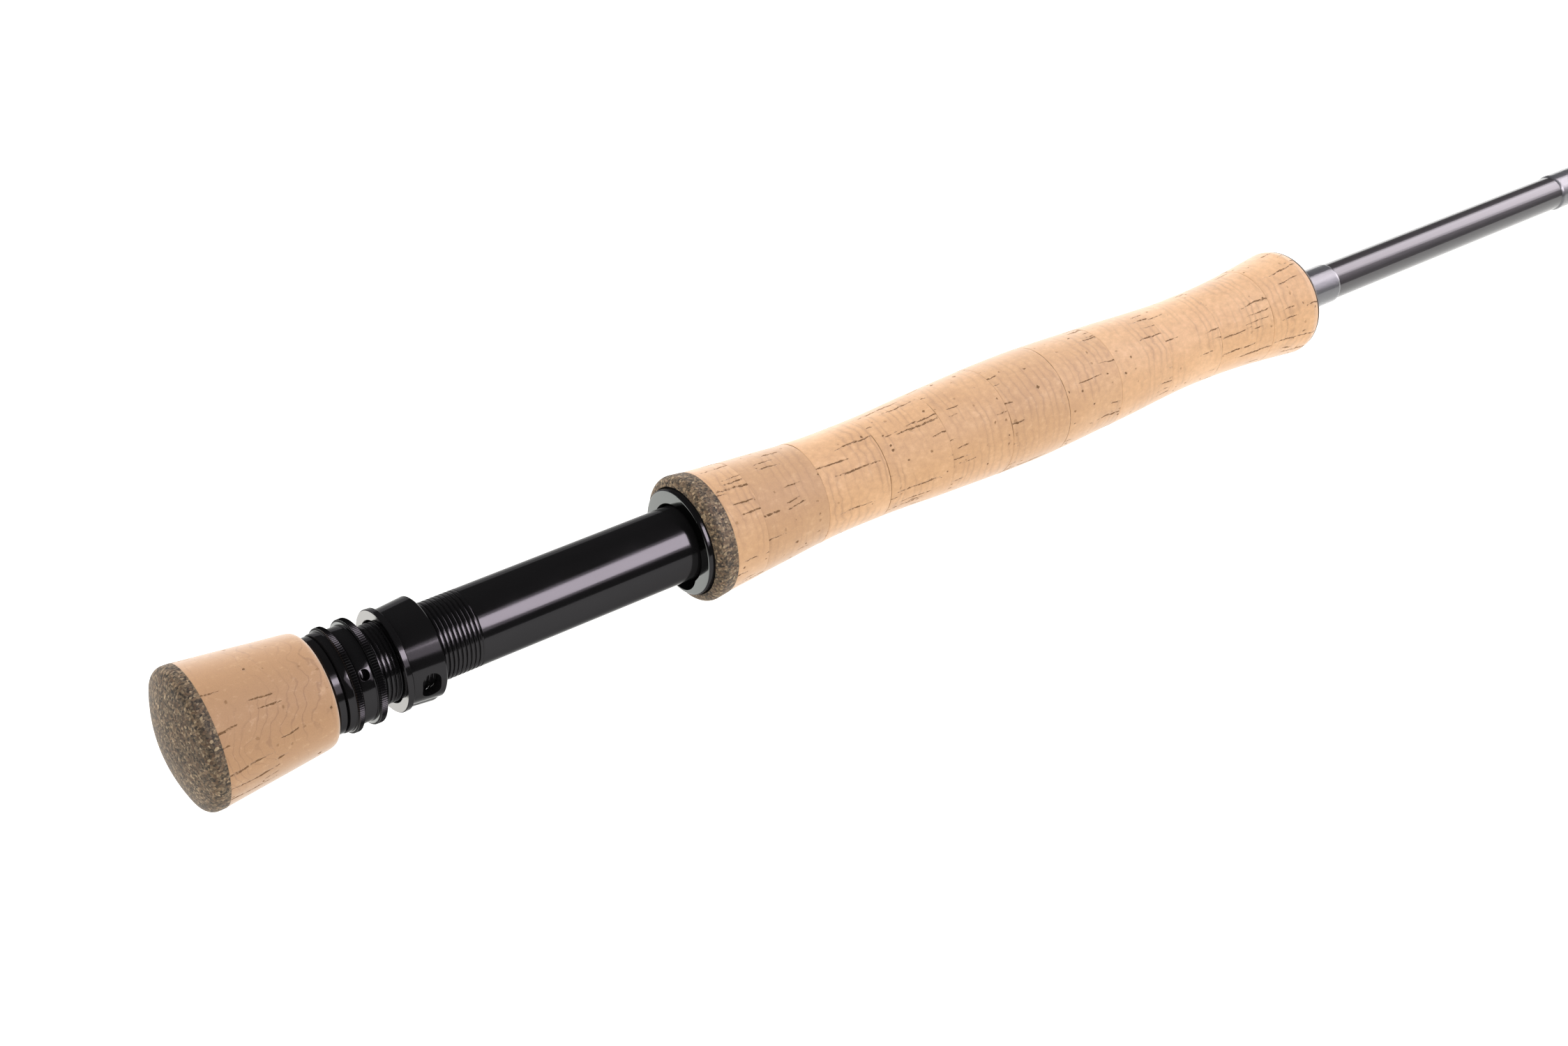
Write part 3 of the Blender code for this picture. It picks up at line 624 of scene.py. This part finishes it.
def set_cork(piece, seed, tone, start, end, warp=1.0, reach=0.45):
    """Values for the cork's material: which piece of bark, how dark, how near a glued edge."""
    mesh = piece.data
    count = len(mesh.vertices)
    co = np.zeros(count * 3)
    mesh.vertices.foreach_get("co", co)
    along = (co.reshape(-1, 3)[:, 0] - BUTT_X) / MM
    gap = np.minimum(np.abs(along - start), np.abs(along - end))
    values = {"seed": np.full(count, float(seed)), "tone": np.full(count, float(tone)),
        "warp": np.full(count, warp), "edge": np.clip(1 - gap / reach, 0, 1)}
    for name, data in values.items():
        mesh.attributes.new(name, "FLOAT", "POINT").data.foreach_set("value", data.astype(np.float32))


def fighting_butt():
    start, end = along_of("fighting_butt")
    big, small = 15.70, 12.72
    slope = (small - big) / (end - start)
    first = start - GLUE_LINE
    rows = np.concatenate([[first, start + 0.25, start + 0.6], np.linspace(start + 1.5, end - 2.4, 22)])
    outline = [(first, 10.0)] + [(u, big + slope * (u - start)) for u in rows]
    corner = small + 0.12
    outline += arc(end - 1.9, corner - 1.9, 1.9, 84, 4, 8)
    outline += [(end, 9.2), (end - 5, 9.2)]
    wobble = hash_noise(11)
    piece = lathe("fighting_butt_cork", outline, 160, CORK, "handle", ["fighting_butt"],
        lambda u, r, a: r + (0.05 * wobble(a, u) if r > 11 else 0), 50)
    set_cork(piece, 17.0, 1.0, NO_JOINT, NO_JOINT, 3.0)
    return piece


# ---------------------------------------------------------------- grip

# along, radius: a full-wells grip
GRIP_SHAPE = [(131.0, 14.75), (148.0, 13.40), (164.0, 12.30), (178.0, 12.25), (200.0, 13.20), (228.0, 13.90),
    (256.0, 12.95), (284.0, 11.70), (300.0, 12.20), (312.0, 13.15), (322.6, 14.30)]
GRIP_ALONG = np.array([place for place, _ in GRIP_SHAPE])
GRIP_RADII = np.array([radius for _, radius in GRIP_SHAPE])
GRIP_SLOPES = np.gradient(GRIP_RADII, GRIP_ALONG)
RING_TONES = [0.48, 0.66, 0.20, 0.28, 0.34, 0.44, 0.36, 0.16, 0.04, 0.06, 0.02]  # 1 is darkest, rear to front
FRONT_CORNER = 4.2
HOOD_BORE = 13.1  # of the burl ring and the first cork ring, around the fixed hood


def grip_radius(u):
    """A smooth curve (cubic Hermite) through the grip's shape."""
    i = int(np.clip(np.searchsorted(GRIP_ALONG, u) - 1, 0, len(GRIP_ALONG) - 2))
    w = GRIP_ALONG[i + 1] - GRIP_ALONG[i]
    t = float(np.clip((u - GRIP_ALONG[i]) / w, 0, 1))
    rear = (1 + 2 * t) * (1 - t) ** 2 * GRIP_RADII[i] + t * (1 - t) ** 2 * w * GRIP_SLOPES[i]
    front = t * t * (3 - 2 * t) * GRIP_RADII[i + 1] + t * t * (t - 1) * w * GRIP_SLOPES[i + 1]
    return rear + front


def grip_end():
    start, end = along_of("grip_end_ring")
    corner, big, small = 2.0, 15.2, 14.85
    straight = start + corner + 0.2
    slope = (small - big) / (end - straight)
    outline = [(start, HOOD_BORE)] + arc(start + corner, big - corner, corner, 176, 84, 9)
    outline += [(u, big + slope * (u - straight)) for u in np.linspace(start + 2.6, end, 5)]
    outline += [(end + GLUE_LINE, small - 0.05), (end + GLUE_LINE, HOOD_BORE)]
    wobble = hash_noise(5)
    lathe("grip_end_burl", outline, 160, BURL, "handle", ["grip_end_ring"],
        lambda u, r, a: r + (0.02 * wobble(a, u) if r > 14 else 0), 45)


def cork_rings():
    for number, tone in enumerate(RING_TONES, 1):
        node = f"cork_ring_{number:02d}"
        start, end = along_of(node)
        last = number == len(RING_TONES)
        low, high = start - GLUE_LINE, end if last else end + GLUE_LINE
        stop = high - FRONT_CORNER - 0.1 if last else high
        inner = HOOD_BORE if number == 1 else blank_radius(start) + 0.2
        rows = np.concatenate([[low, low + 0.12, low + 0.35], np.linspace(low + 0.8, stop - 0.8, 20),
            [stop - 0.35, stop - 0.12, stop] if not last else [stop]])
        outline = [(low, inner)] + [(u, grip_radius(u)) for u in rows]
        if last:
            corner = grip_radius(stop) - FRONT_CORNER
            outline += arc(stop, corner - 0.12, FRONT_CORNER, 86, 68, 5)
            outline += [(stop + 1.62, corner + 3.3), (stop + 2.5, corner), (stop + 2.5, inner)]
            trim = [(stop + 2.55, inner), (stop + 2.55, corner), (stop + 1.72, corner + 3.35)]
            trim += arc(stop, corner, FRONT_CORNER, 64, 12, 10)
            trim += [(high, corner - 0.2), (high, inner)]
            lathe("grip_front_trim", trim, 128, TRIM, "handle", sharp=50)
        else:
            outline += [(high, inner)]
        wobble = hash_noise(20 + number)
        step = 0.02 * sin(number * 2.4)

        def shape(u, r, a, low=low, high=high, wobble=wobble, step=step):
            if r < 8:
                return r
            gap = min(u - low, 99 if last else high - u)
            groove = 0.02 * exp(-(gap / 0.12) ** 2)
            return r + step + 0.035 * wobble(a, u) - groove
        piece = lathe(f"{node}_cork", outline, 160, CORK, "handle", [node], shape, 55)
        set_cork(piece, number * 3.7, tone, low, NO_JOINT if last else high)


# ---------------------------------------------------------------- reel seat

def thread_groove(u, a):
    """From 0 on the flat crest to 1 in the groove, which takes half of the pitch and has a round floor."""
    turn = (u / PITCH - a / (2 * pi)) % 1.0
    wave = abs(turn - 0.5) * 2
    depth = min(1.0, max(0.0, (wave - 0.46) / 0.44))
    return depth * depth * (3 - 2 * depth)


def seat_barrel():
    start, end = along_of("seat_barrel")
    r, wall = TUBE_RADIUS, 0.9
    rows = np.arange(THREAD_START, THREAD_END + 1.0, PITCH / 12)
    outline = [(start, r - wall)] + [(u, r) for u in (start, 32.0, *rows, 72.0, 90.0, 110.0, 128.0, end)]
    outline += [(end, r - wall)]

    def shape(u, rr, a):
        if rr < r - 0.1 or not THREAD_START < u < THREAD_END + 0.9:
            return rr
        fade = min(1.0, max(0.0, (THREAD_END + 0.15 * sin(a) - u) / 0.55))
        return rr - THREAD_DEPTH * fade * thread_groove(u, a)
    return lathe("seat_tube_threaded", outline, 144, ANODISED, "handle", ["seat_barrel"], shape, 60)


def seat_end_collar():
    start, end = along_of("seat_end_collar")
    r = 10.9
    outline = [(start - 0.2, 9.0), (start - 0.2, r - 0.5), (start, r - 0.25), (start + 0.25, r),
        (end - 0.25, r),
        (end, r - 0.25), (end, 9.0)]
    return lathe("seat_end_trim", outline, 128, ANODISED, "handle", ["seat_end_collar"], sharp=40)


def lock_ring(place, sleeve_length, sleeve_radius):
    """A sleeve with a flange at its front, whose rim is knurled: each tooth is four sides wide."""
    name = f"{place}_lock_ring"
    start, end = along_of(name)
    flange = start + sleeve_length
    teeth, rim, bore = 124, 11.8, 9.02
    sides = teeth * 4
    knurls = (0.0, 0.11, 0.30, 0.11)
    mid = (flange + end) / 2
    e = 0.12
    outline = [(start, bore + 0.25), (start + 0.2, bore), (end - 0.2, bore), (end, bore + 0.25),
        (end, rim - 0.46),
        (end - 0.04, rim - 0.38), (end - 0.24, rim - 0.08), (end - 0.26, rim), (mid, rim), (flange + 0.26, rim),
        (flange + 0.24, rim - 0.08), (flange + 0.04, rim - 0.38), (flange, rim - 0.46),
        (flange, sleeve_radius + e), (flange - e, sleeve_radius), (start + 0.35, sleeve_radius),
        (start + 0.1, sleeve_radius - 0.1), (start, sleeve_radius - 0.3)]

    def knurl(u, r, a):
        if r < rim - 0.1 or not flange + 0.2 < u < end - 0.2:
            return r
        return r - knurls[round(a * sides / (2 * pi)) % 4]
    piece = lathe(f"{name}_knurled", outline, sides, ANODISED, name, [name], knurl, 30)
    if place == "front":
        helper = window_cutter(start + 1.5, 2.2, 2.6, 32, -1)
        combine(piece, helper)
        settle(piece, [helper])
    piece.data.materials.append(FACE)
    piece.data.materials.append(KNURL_PAINTED_DARKER)
    for polygon in piece.data.polygons:
        centre = polygon.center
        radius = hypot(centre.y, centre.z - AXIS_Z) / MM
        if polygon.normal.x < -0.9 and radius > sleeve_radius + 0.05:
            polygon.material_index = 1
        # the knurled rim takes the darker copy: painted shade
        elif abs(polygon.normal.x) < 0.5 and radius > rim - 0.4:
            polygon.material_index = 2
    return piece


def sliding_hood():
    start, end = along_of("sliding_hood")
    flange = start + 1.5
    rim, rear, front, bore = 11.7, 10.8, 11.45, 9.25
    outline = [(start, bore + 0.2), (start + 0.2, bore), (end - 0.2, bore), (end, bore + 0.2),
        (end, front - 0.34),
        (end - 0.34, front), (flange + 0.16, rear + 0.01), (flange, rear + 0.1), (flange, rim - 0.2),
        (flange - 0.2, rim), (start + 0.2, rim), (start, rim - 0.2)]
    piece = lathe("sliding_hood_body", outline, 128, ANODISED, "sliding_hood", ["sliding_hood"])
    lobe_outline = [(start + 0.6, 0), (start + 0.6, 6.9), (start + 0.9, 7.2), (end - 1.2, 7.92),
        (end - 0.5, 7.8),
        (end - 0.2, 7.4), (end - 0.2, 0)]
    lobe = lathe("helper", lobe_outline, 128, ANODISED, None, closed=False, drop=POCKET_DROP)
    plug = drum_helper(start - 1, end + 1, bore, 0)
    pocket = drum_helper(flange + 0.4, end + 1, 6.2, POCKET_DROP, last=6.98)
    windows = [window_cutter(start + 5.8, 4.2, 6.8, -13, side) for side in (-1, 1)]
    combine(piece, lobe, "UNION")
    for helper in (plug, pocket, *windows):
        combine(piece, helper)
    settle(piece, [lobe, plug, pocket, *windows])
    # the hood's rear face takes the lighter copy: painted reflection
    paint_rear_face(piece, FACE_PAINTED_LIGHTER, start + 0.1)
    return piece


def fixed_hood():
    start, end = along_of("fixed_hood")
    r, bore = 12.8, 9.25
    outline = [(start, bore + 0.35), (start + 0.35, bore), (end, bore), (end, r)]
    outline += arc(start + 0.55, r - 0.55, 0.55, 90, 180, 6)
    piece = lathe("fixed_hood_cup", outline, 144, ANODISED, "handle", ["fixed_hood"])
    pocket = drum_helper(start - 1, start + 12, 7.1, POCKET_DROP)
    combine(piece, pocket)
    settle(piece, [pocket])
    paint_rear_face(piece, FACE, start + 0.1)
    return piece


# ---------------------------------------------------------------- blanks, ferrules and wraps

def blank(node, body, wall):
    start, end = along_of(node)
    rear, front = blank_radius(start), blank_radius(end)
    edge = 0.15
    outline = [(start, rear - wall), (start, rear - edge), (start + edge, rear)]
    outline += [(u, blank_radius(u)) for u in np.linspace(start, end, 40)[1:-1]]
    outline += [(end - edge, front), (end, front - edge), (end, front - wall)]
    lathe(f"{node}_lacquered", outline, 64, BLANK, body, [node], sharp=40)


def band(name, node, body, start, end, base, height, ridge=None, sides=96):
    """Thread under lacquer: flat along the middle, with a thin rounded edge of lacquer at both ends. base(along) is
    the radius of what it is wound on, and ridge(along, angle) what it covers besides."""
    lip, edge, shoulder, steps = 0.10, 0.05, 0.9, 6

    def rounded(corner, towards, k):
        u = corner + towards * (lip + shoulder * k / steps)
        return u, base(u) + edge + (height - edge) * sin(k / steps * pi / 2)
    outline = [(start, base(start) - 0.03), (start + lip, base(start) + edge)]
    outline += [rounded(start, 1, k) for k in range(1, steps + 1)]
    outline += [(u, base(u) + height) for u in np.linspace(start + 1.6, end - 1.6, 8)]
    outline += [rounded(end, -1, k) for k in range(steps, 0, -1)]
    outline += [(end - lip, base(end) + edge), (end, base(end) - 0.03)]
    wobble = hash_noise(int(start))

    def shape(u, r, a):
        grown = r + 0.02 * wobble(a, u) * (1 if r > base(u) + 0.1 else 0)
        return grown + (ridge(u, a) if ridge else 0.0)
    return lathe(name, outline, sides, THREAD, body, [node] if node else [], shape, 60)


def wraps_and_check():
    start, end = along_of("winding_check")
    r = blank_radius(start)
    outline = [(start, r + 0.05), (start, r + 1.7), (start + 0.25, r + 1.95), (start + 0.8, r + 1.9),
        (start + 1.6, r + 1.35), (end - 0.4, r + 0.95), (end - 0.1, r + 0.8), (end, r + 0.5), (end, r + 0.05)]
    lathe("winding_check_rubber", outline, 96, RUBBER, "handle", ["winding_check"], sharp=40)
    start, end = along_of("grip_wrap")
    band("grip_wrap_thread", "grip_wrap", "handle", start - 0.8, end, blank_radius, 0.42)
    for place in ("rear", "front"):
        start, end = along_of(f"keeper_wrap_{place}")
        band(f"keeper_wrap_{place}_thread", f"keeper_wrap_{place}", "handle", start, end, blank_radius, 0.40)


def ferrules():
    def out(u):
        return blank_radius(u) + 1.1
    for number in (2, 3, 4):
        body = f"section_{number}"
        start, end = along_of(f"ferrule_sleeve_{number}")
        mouth = blank_radius(start)
        inner = [(end, blank_radius(end) + 0.12), (start + 0.3, mouth + 0.14), (start, mouth + 0.3)]
        outline = [(start, out(start) - 0.15), (start + 0.15, out(start))]
        outline += [(u, out(u)) for u in np.linspace(start + 3, end - 6, 14)]
        outline += [(end - 3, out(end) - 0.25), (end - 1, out(end) - 0.75),
            (end, blank_radius(end) + 0.2)] + inner
        lathe(f"ferrule_sleeve_{number}_lacquered", outline, 64, BLANK, body,
            [f"ferrule_sleeve_{number}"], sharp=40)
        start, end = along_of(f"ferrule_wrap_{number}")
        band(f"ferrule_wrap_{number}_thread", f"ferrule_wrap_{number}", body, start, end, out, 0.38)


def keeper():
    start, end = along_of("hook_keeper")
    wire, height, foot, steps = 0.5, 4.2, 3.0, 32
    surface = blank_radius(start) + FOOT_GAP + wire
    buried = AXIS_Z - (surface - 0.35) * MM
    points = [(at(start - foot), 0, buried)]
    for k in range(steps + 1):
        t = k / steps
        rise = sin(pi * t) ** 0.8 if 0 < t < 1 else 0.0
        points.append((at(start + (end - start) * t), 0, AXIS_Z - (surface + height * rise) * MM))
    points.append((at(end + foot), 0, buried))
    tube_along("hook_keeper_wire", points, [wire * MM] * len(points), STEEL, "handle",
        ["hook_keeper"])


# ---------------------------------------------------------------- guides

def body_of(node):
    for body, members in frame["record"]["behaviour"]["bodies"].items():
        if node in members:
            return body
    raise ValueError(node)


def foot_wrap(name, body, start, end, foot_radius):
    """Thread over a guide's foot: round, with a ridge where the foot lies under it."""
    def ridge(u, a):
        t = min(1.0, max(0.0, (u - start) / 2.5), max(0.0, (end - u) / 2.5) + 0.35)
        width = foot_radius * 2.2 / blank_radius(u)
        off = (a - pi) / width
        return (2 * foot_radius + 0.12) * exp(-off * off) * max(0.0, t)
    band(name, None, body, start, end, lambda u: blank_radius(u) + 0.02, 0.28, ridge, 72)


def snake_guides():
    for number in range(1, 10):
        node = f"snake_guide_{number}"
        body = body_of(node)
        low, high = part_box(node)
        along = middle_of(node)
        wire, length, foot, widest = 0.45, 9.0, 8.0, 2.9
        loop = min(((high.z - low.z) / MM - 2 * wire) / 2, widest)
        surface = blank_radius(along - length) + FOOT_GAP + wire
        points = []
        for d in (8.0, 6.0, 4.0, 2.0, 0.8):
            points.append((along - length / 2 - d, 0, -surface + (0.15 if d > 1 else 0.05)))
        turn = 40
        for k in range(turn + 1):
            a = 2 * pi * k / turn
            x = along + length * (k / turn - 0.5)
            points.append((x, loop * sin(a), -surface - loop * (1 - cos(a))))
        for d in (0.8, 2.0, 4.0, 6.0, 8.0):
            points.append((along + length / 2 + d, 0, -surface + (0.15 if d > 1 else 0.05)))
        radii = [wire * MM] * len(points)
        for i, k in ((0, 0.35), (1, 0.62), (2, 0.85)):
            radii[i] = radii[-1 - i] = wire * k * MM
        placed = [(at(x), y * MM, AXIS_Z + z * MM) for x, y, z in points]
        tube_along(f"{node}_wire", placed, radii, STEEL, body, [node],
            flat=lambda i, n=len(placed): (1.25, 0.8) if i < 4 or i > n - 5 else (1.0, 1.0))
        for place, edge in (("rear", -1), ("front", 1)):
            near = along + edge * (length / 2 + 0.6)
            far = along + edge * (length / 2 + foot + 2.0)
            foot_wrap(f"{node}_{place}_wrap", body, min(near, far), max(near, far), wire)


def stripping_guides():
    for number, ring in ((1, 6.2), (2, 5.2)):
        node = f"stripping_guide_{number}"
        body = body_of(node)
        low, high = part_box(f"stripping_ring_{number}")
        along = middle_of(f"stripping_ring_{number}")
        drop = (AXIS_Z - (low.z + high.z) / 2) / MM
        inner = ring - 1.4
        outline = [(along + 0.9 * cos(a), inner + 0.7 + 0.7 * sin(a))
            for a in np.linspace(0, 2 * pi, 25)[:-1]]
        lathe(f"stripping_ring_{number}_ceramic", outline, 96, CERAMIC, body,
            [f"stripping_ring_{number}"],
            None, 60, drop=drop)
        bore, outside = ring + 0.05, ring + 1.1
        outline = [(along - 1.0, bore + 0.15), (along - 0.85, bore), (along + 0.85, bore),
            (along + 1.0, bore + 0.15), (along + 1.0, outside - 0.25), (along + 0.75, outside),
            (along - 0.75, outside), (along - 1.0, outside - 0.25)]
        lathe(f"stripping_holder_{number}_steel", outline, 96, STEEL, body, [node], sharp=40,
            drop=drop)
        wire, stand, reach, foot = 0.7, 7.4, 13.0, 8.0
        surface = blank_radius(along - 15) + FOOT_GAP + wire
        rim = outside - 0.28
        front = [(along + reach + foot, 0, -surface + 0.3), (along + reach + foot * 0.5, 0, -surface + 0.12),
            (along + reach, 0, -surface), (along + reach * 0.72, 0, -surface - stand * 0.2),
            (along + reach * 0.45, 0, -surface - stand * 0.55),
                (along + reach * 0.2, 0, -surface - stand * 0.86),
            (along, 0, -drop + rim)]
        struts = [("front", front)]
        for side in (-1, 1):
            grip_angle = radians(70)
            end = (along, side * rim * sin(grip_angle), -drop + rim * cos(grip_angle))
            foot_points = [(along - reach - foot, side * 0.12, -surface + 0.3),
                (along - reach - foot * 0.5, side * 0.15, -surface + 0.12),
                (along - reach, side * 0.2, -surface)]
            bend = [(along - reach * 0.72, side * rim * 0.22, -surface - stand * 0.2),
                (along - reach * 0.5, side * rim * 0.45, -surface - stand * 0.55),
                (along - reach * 0.2, side * rim * 0.80, (-surface - stand * 0.55 + end[2]) / 2 - 0.6)]
            struts.append(("left" if side > 0 else "right", foot_points + bend + [end]))
        for label, points in struts:
            placed = smooth_path([(at(x), y * MM, AXIS_Z + z * MM) for x, y, z in points], 6)
            n = len(placed)
            radii = [wire * MM * min(1.0, 0.35 + 0.65 * i / 8) for i in range(n)]
            tube_along(f"stripping_strut_{number}_{label}", placed, radii, STEEL, body)
        foot_wrap(f"{node}_rear_wrap", body, along - reach - foot - 2, along - reach - 0.8, 0.62)
        foot_wrap(f"{node}_front_wrap", body, along + reach + 0.8, along + reach + foot + 2, 0.62)


def tip_top():
    start, _ = along_of("tip_top")
    tilt = radians(35)
    ring, wire = 2.9, 0.55
    length = (CAD_BOX[1][0] - BUTT_X) / MM
    end = length - wire * 0.6 - 2 * ring * sin(tilt)
    inner = blank_radius(start) + 0.1
    out = inner + 0.5
    outline = [(start, inner), (start, out - 0.15), (start + 0.2, out), (end - 0.9, out),
        (end - 0.4, out - 0.15),
        (end - 0.1, out - 0.45), (end, 0.0), (end - 1.5, 0.0), (end - 1.5, inner)]
    lathe("tip_top_tube", outline, 64, STEEL, "section_4", ["tip_top"], sharp=40)
    middle = length - wire - ring * sin(tilt)
    drop = ring * cos(tilt)
    turn = Matrix.Rotation(-tilt, 4, "Y")
    steps, sides = 48, 14
    vertices, faces = [], []
    for i in range(steps):
        a = 2 * pi * i / steps
        outwards = Vector((0, sin(a), cos(a)))
        for k in range(sides):
            b = 2 * pi * k / sides
            v = turn @ (outwards * (ring + wire * cos(b)) + Vector((wire * sin(b), 0, 0)))
            vertices.append((at(middle + v.x), v.y * MM, AXIS_Z + (v.z - drop) * MM))
            m, j = (k + 1) % sides, (i + 1) % steps
            faces.append((i * sides + k, j * sides + k, j * sides + m, i * sides + m))
    finish_mesh("tip_top_ring", vertices, faces, STEEL, "section_4", sharp=60)
    band("tip_wrap_thread", None, "section_4", start - 7.5, start + 0.4, blank_radius, 0.30, sides=64)


# ---------------------------------------------------------------- everything

butt_cap()
fighting_butt()
grip_end()
cork_rings()
seat_barrel()
seat_end_collar()
lock_ring("rear", 1.7, 11.1)
lock_ring("front", 3.2, 10.7)
sliding_hood()
fixed_hood()
wraps_and_check()
for node, wall in (("butt_blank", 1.1), ("blank_2", 1.0), ("blank_3", 0.9), ("tip_blank", 0.65)):
    blank(node, body_of(node), wall)
ferrules()
keeper()
snake_guides()
stripping_guides()
tip_top()

for node, material in (("rear_ring_seal", RUBBER), ("front_ring_seal", RUBBER),
        ("rear_arbor", FOAM), ("front_arbor", FOAM)):
    frame["nodes"][node].data.materials.clear()
    frame["nodes"][node].data.materials.append(material)


# ---------------------------------------------------------------- floor, light and camera

def stage():
    s = Shader("floor pale")
    s.set(Base_Color=(0.36, 0.36, 0.36), Roughness=0.9, Specular_IOR_Level=0.1,
        Emission_Color=(1.0, 1.0, 0.97, 1.0), Emission_Strength=1.0)
    mesh = bpy.data.meshes.new("floor")
    size, near_edge = 30.0, -0.17  # metres; the tube mirrors the dark in front of the near edge
    corners = [(-size, near_edge, 0), (size, near_edge, 0), (size, size, 0), (-size, size, 0)]
    mesh.from_pydata(corners, [], [(0, 1, 2, 3)])
    mesh.materials.append(s.material)
    floor = bpy.data.objects.new("floor", mesh)
    floor.location.z = -0.0004
    bpy.context.scene.collection.objects.link(floor)

    world = bpy.data.worlds.new("studio")
    world.use_nodes = True
    tree = world.node_tree
    where = tree.nodes.new("ShaderNodeTexCoord")
    towards = tree.nodes.new("ShaderNodeVectorMath")
    towards.operation = "DOT_PRODUCT"
    towards.inputs[1].default_value = Vector((-0.42, -0.60, 0.68)).normalized()
    tree.links.new(where.outputs["Generated"], towards.inputs[0])
    shade = tree.nodes.new("ShaderNodeMapRange")
    shade.interpolation_type = "SMOOTHSTEP"
    for place, value in (("From Min", -0.45), ("From Max", 0.98), ("To Min", 1.78), ("To Max", 0.80)):
        shade.inputs[place].default_value = value
    tree.links.new(towards.outputs["Value"], shade.inputs["Value"])
    tree.links.new(shade.outputs["Result"], tree.nodes["Background"].inputs[1])
    tree.nodes["Background"].inputs[0].default_value = (1.0, 1.0, 1.0, 1.0)
    world.cycles_visibility.glossy = False
    bpy.context.scene.world = world


def softbox(name, centre, long_axis, towards, length, width, radiance, colour=(1, 1, 1)):
    """A rectangular light, in metres, given by its radiance so that its size can change alone."""
    light = bpy.data.lights.new(name, "AREA")
    light.shape = "RECTANGLE"
    light.size, light.size_y = length, width
    light.energy = radiance * pi * length * width
    light.color = colour
    lamp = bpy.data.objects.new(name, light)
    bpy.context.scene.collection.objects.link(lamp)
    z = (Vector(centre) - Vector(towards)).normalized()
    x = Vector(long_axis)
    x = (x - z * x.dot(z)).normalized()
    y = z.cross(x)
    rotation = Matrix((x, y, z)).transposed().to_4x4()
    lamp.matrix_world = Matrix.Translation(Vector(centre)) @ rotation
    return lamp


def lights():
    def near(u, y, z):
        return (at(u), y * MM, AXIS_Z + z * MM)
    tint = (1.0, 0.92, 1.0)
    butt, seat, grip, blank_start = (near(u, 0, 0) for u in (16, 98, 250, 370))
    wide, beside, along = (0.76, 0.55, 0.35), (0.94, -0.11, -0.32), (1, 0, 0)
    blank_at = near(862, -98, 388)
    highlights = [
        softbox("seat highlight core", near(584, -696, 547), wide, seat, 0.605, 0.44, 12.8, tint),
        softbox("seat highlight rim", near(510, -750, 513), wide, seat, 0.85, 0.62, 2.6, tint),
        softbox("blank highlight core", blank_at, beside, blank_start, 0.85, 0.32, 6.4, tint),
        softbox("blank highlight rim", blank_at, beside, blank_start, 0.90, 0.48, 3.6, tint),
    ]
    above = softbox("butt top", near(-70, 330, 330), along, butt, 0.26, 0.26, 4.6)
    backdrop = softbox("backdrop", near(400, 1250, 170), along, grip, 3.6, 0.40, 1.5)
    for lamp in highlights:
        lamp.visible_diffuse = False
    above.visible_glossy = False
    for lamp in (*highlights, above, backdrop):
        lamp.visible_camera = False


def camera():
    data = bpy.data.cameras.new("camera")
    data.sensor_fit = "HORIZONTAL"
    data.sensor_width = 36.0
    data.lens = 36.0 * 3200 / 2248  # the sensor's width times the focal length per frame width
    data.clip_start, data.clip_end = 0.01, 100
    made = bpy.data.objects.new("camera", data)
    bpy.context.scene.collection.objects.link(made)
    right = Vector((0.8018, -0.5976, 0.0)).normalized()
    forward = Vector((0.5003, 0.6712, -0.5470)).normalized()
    up = right.cross(forward).normalized()
    right = forward.cross(up).normalized()
    rotation = Matrix((right, up, -forward)).transposed().to_4x4()
    centre = Vector((at(152.5) - 0.2620, -0.3546, AXIS_Z + 0.2826))
    made.matrix_world = Matrix.Translation(centre) @ rotation
    bpy.context.scene.camera = made


stage()
lights()
camera()
bpy.context.scene.view_settings.view_transform = "Standard"
bpy.context.scene.view_settings.look = "None"
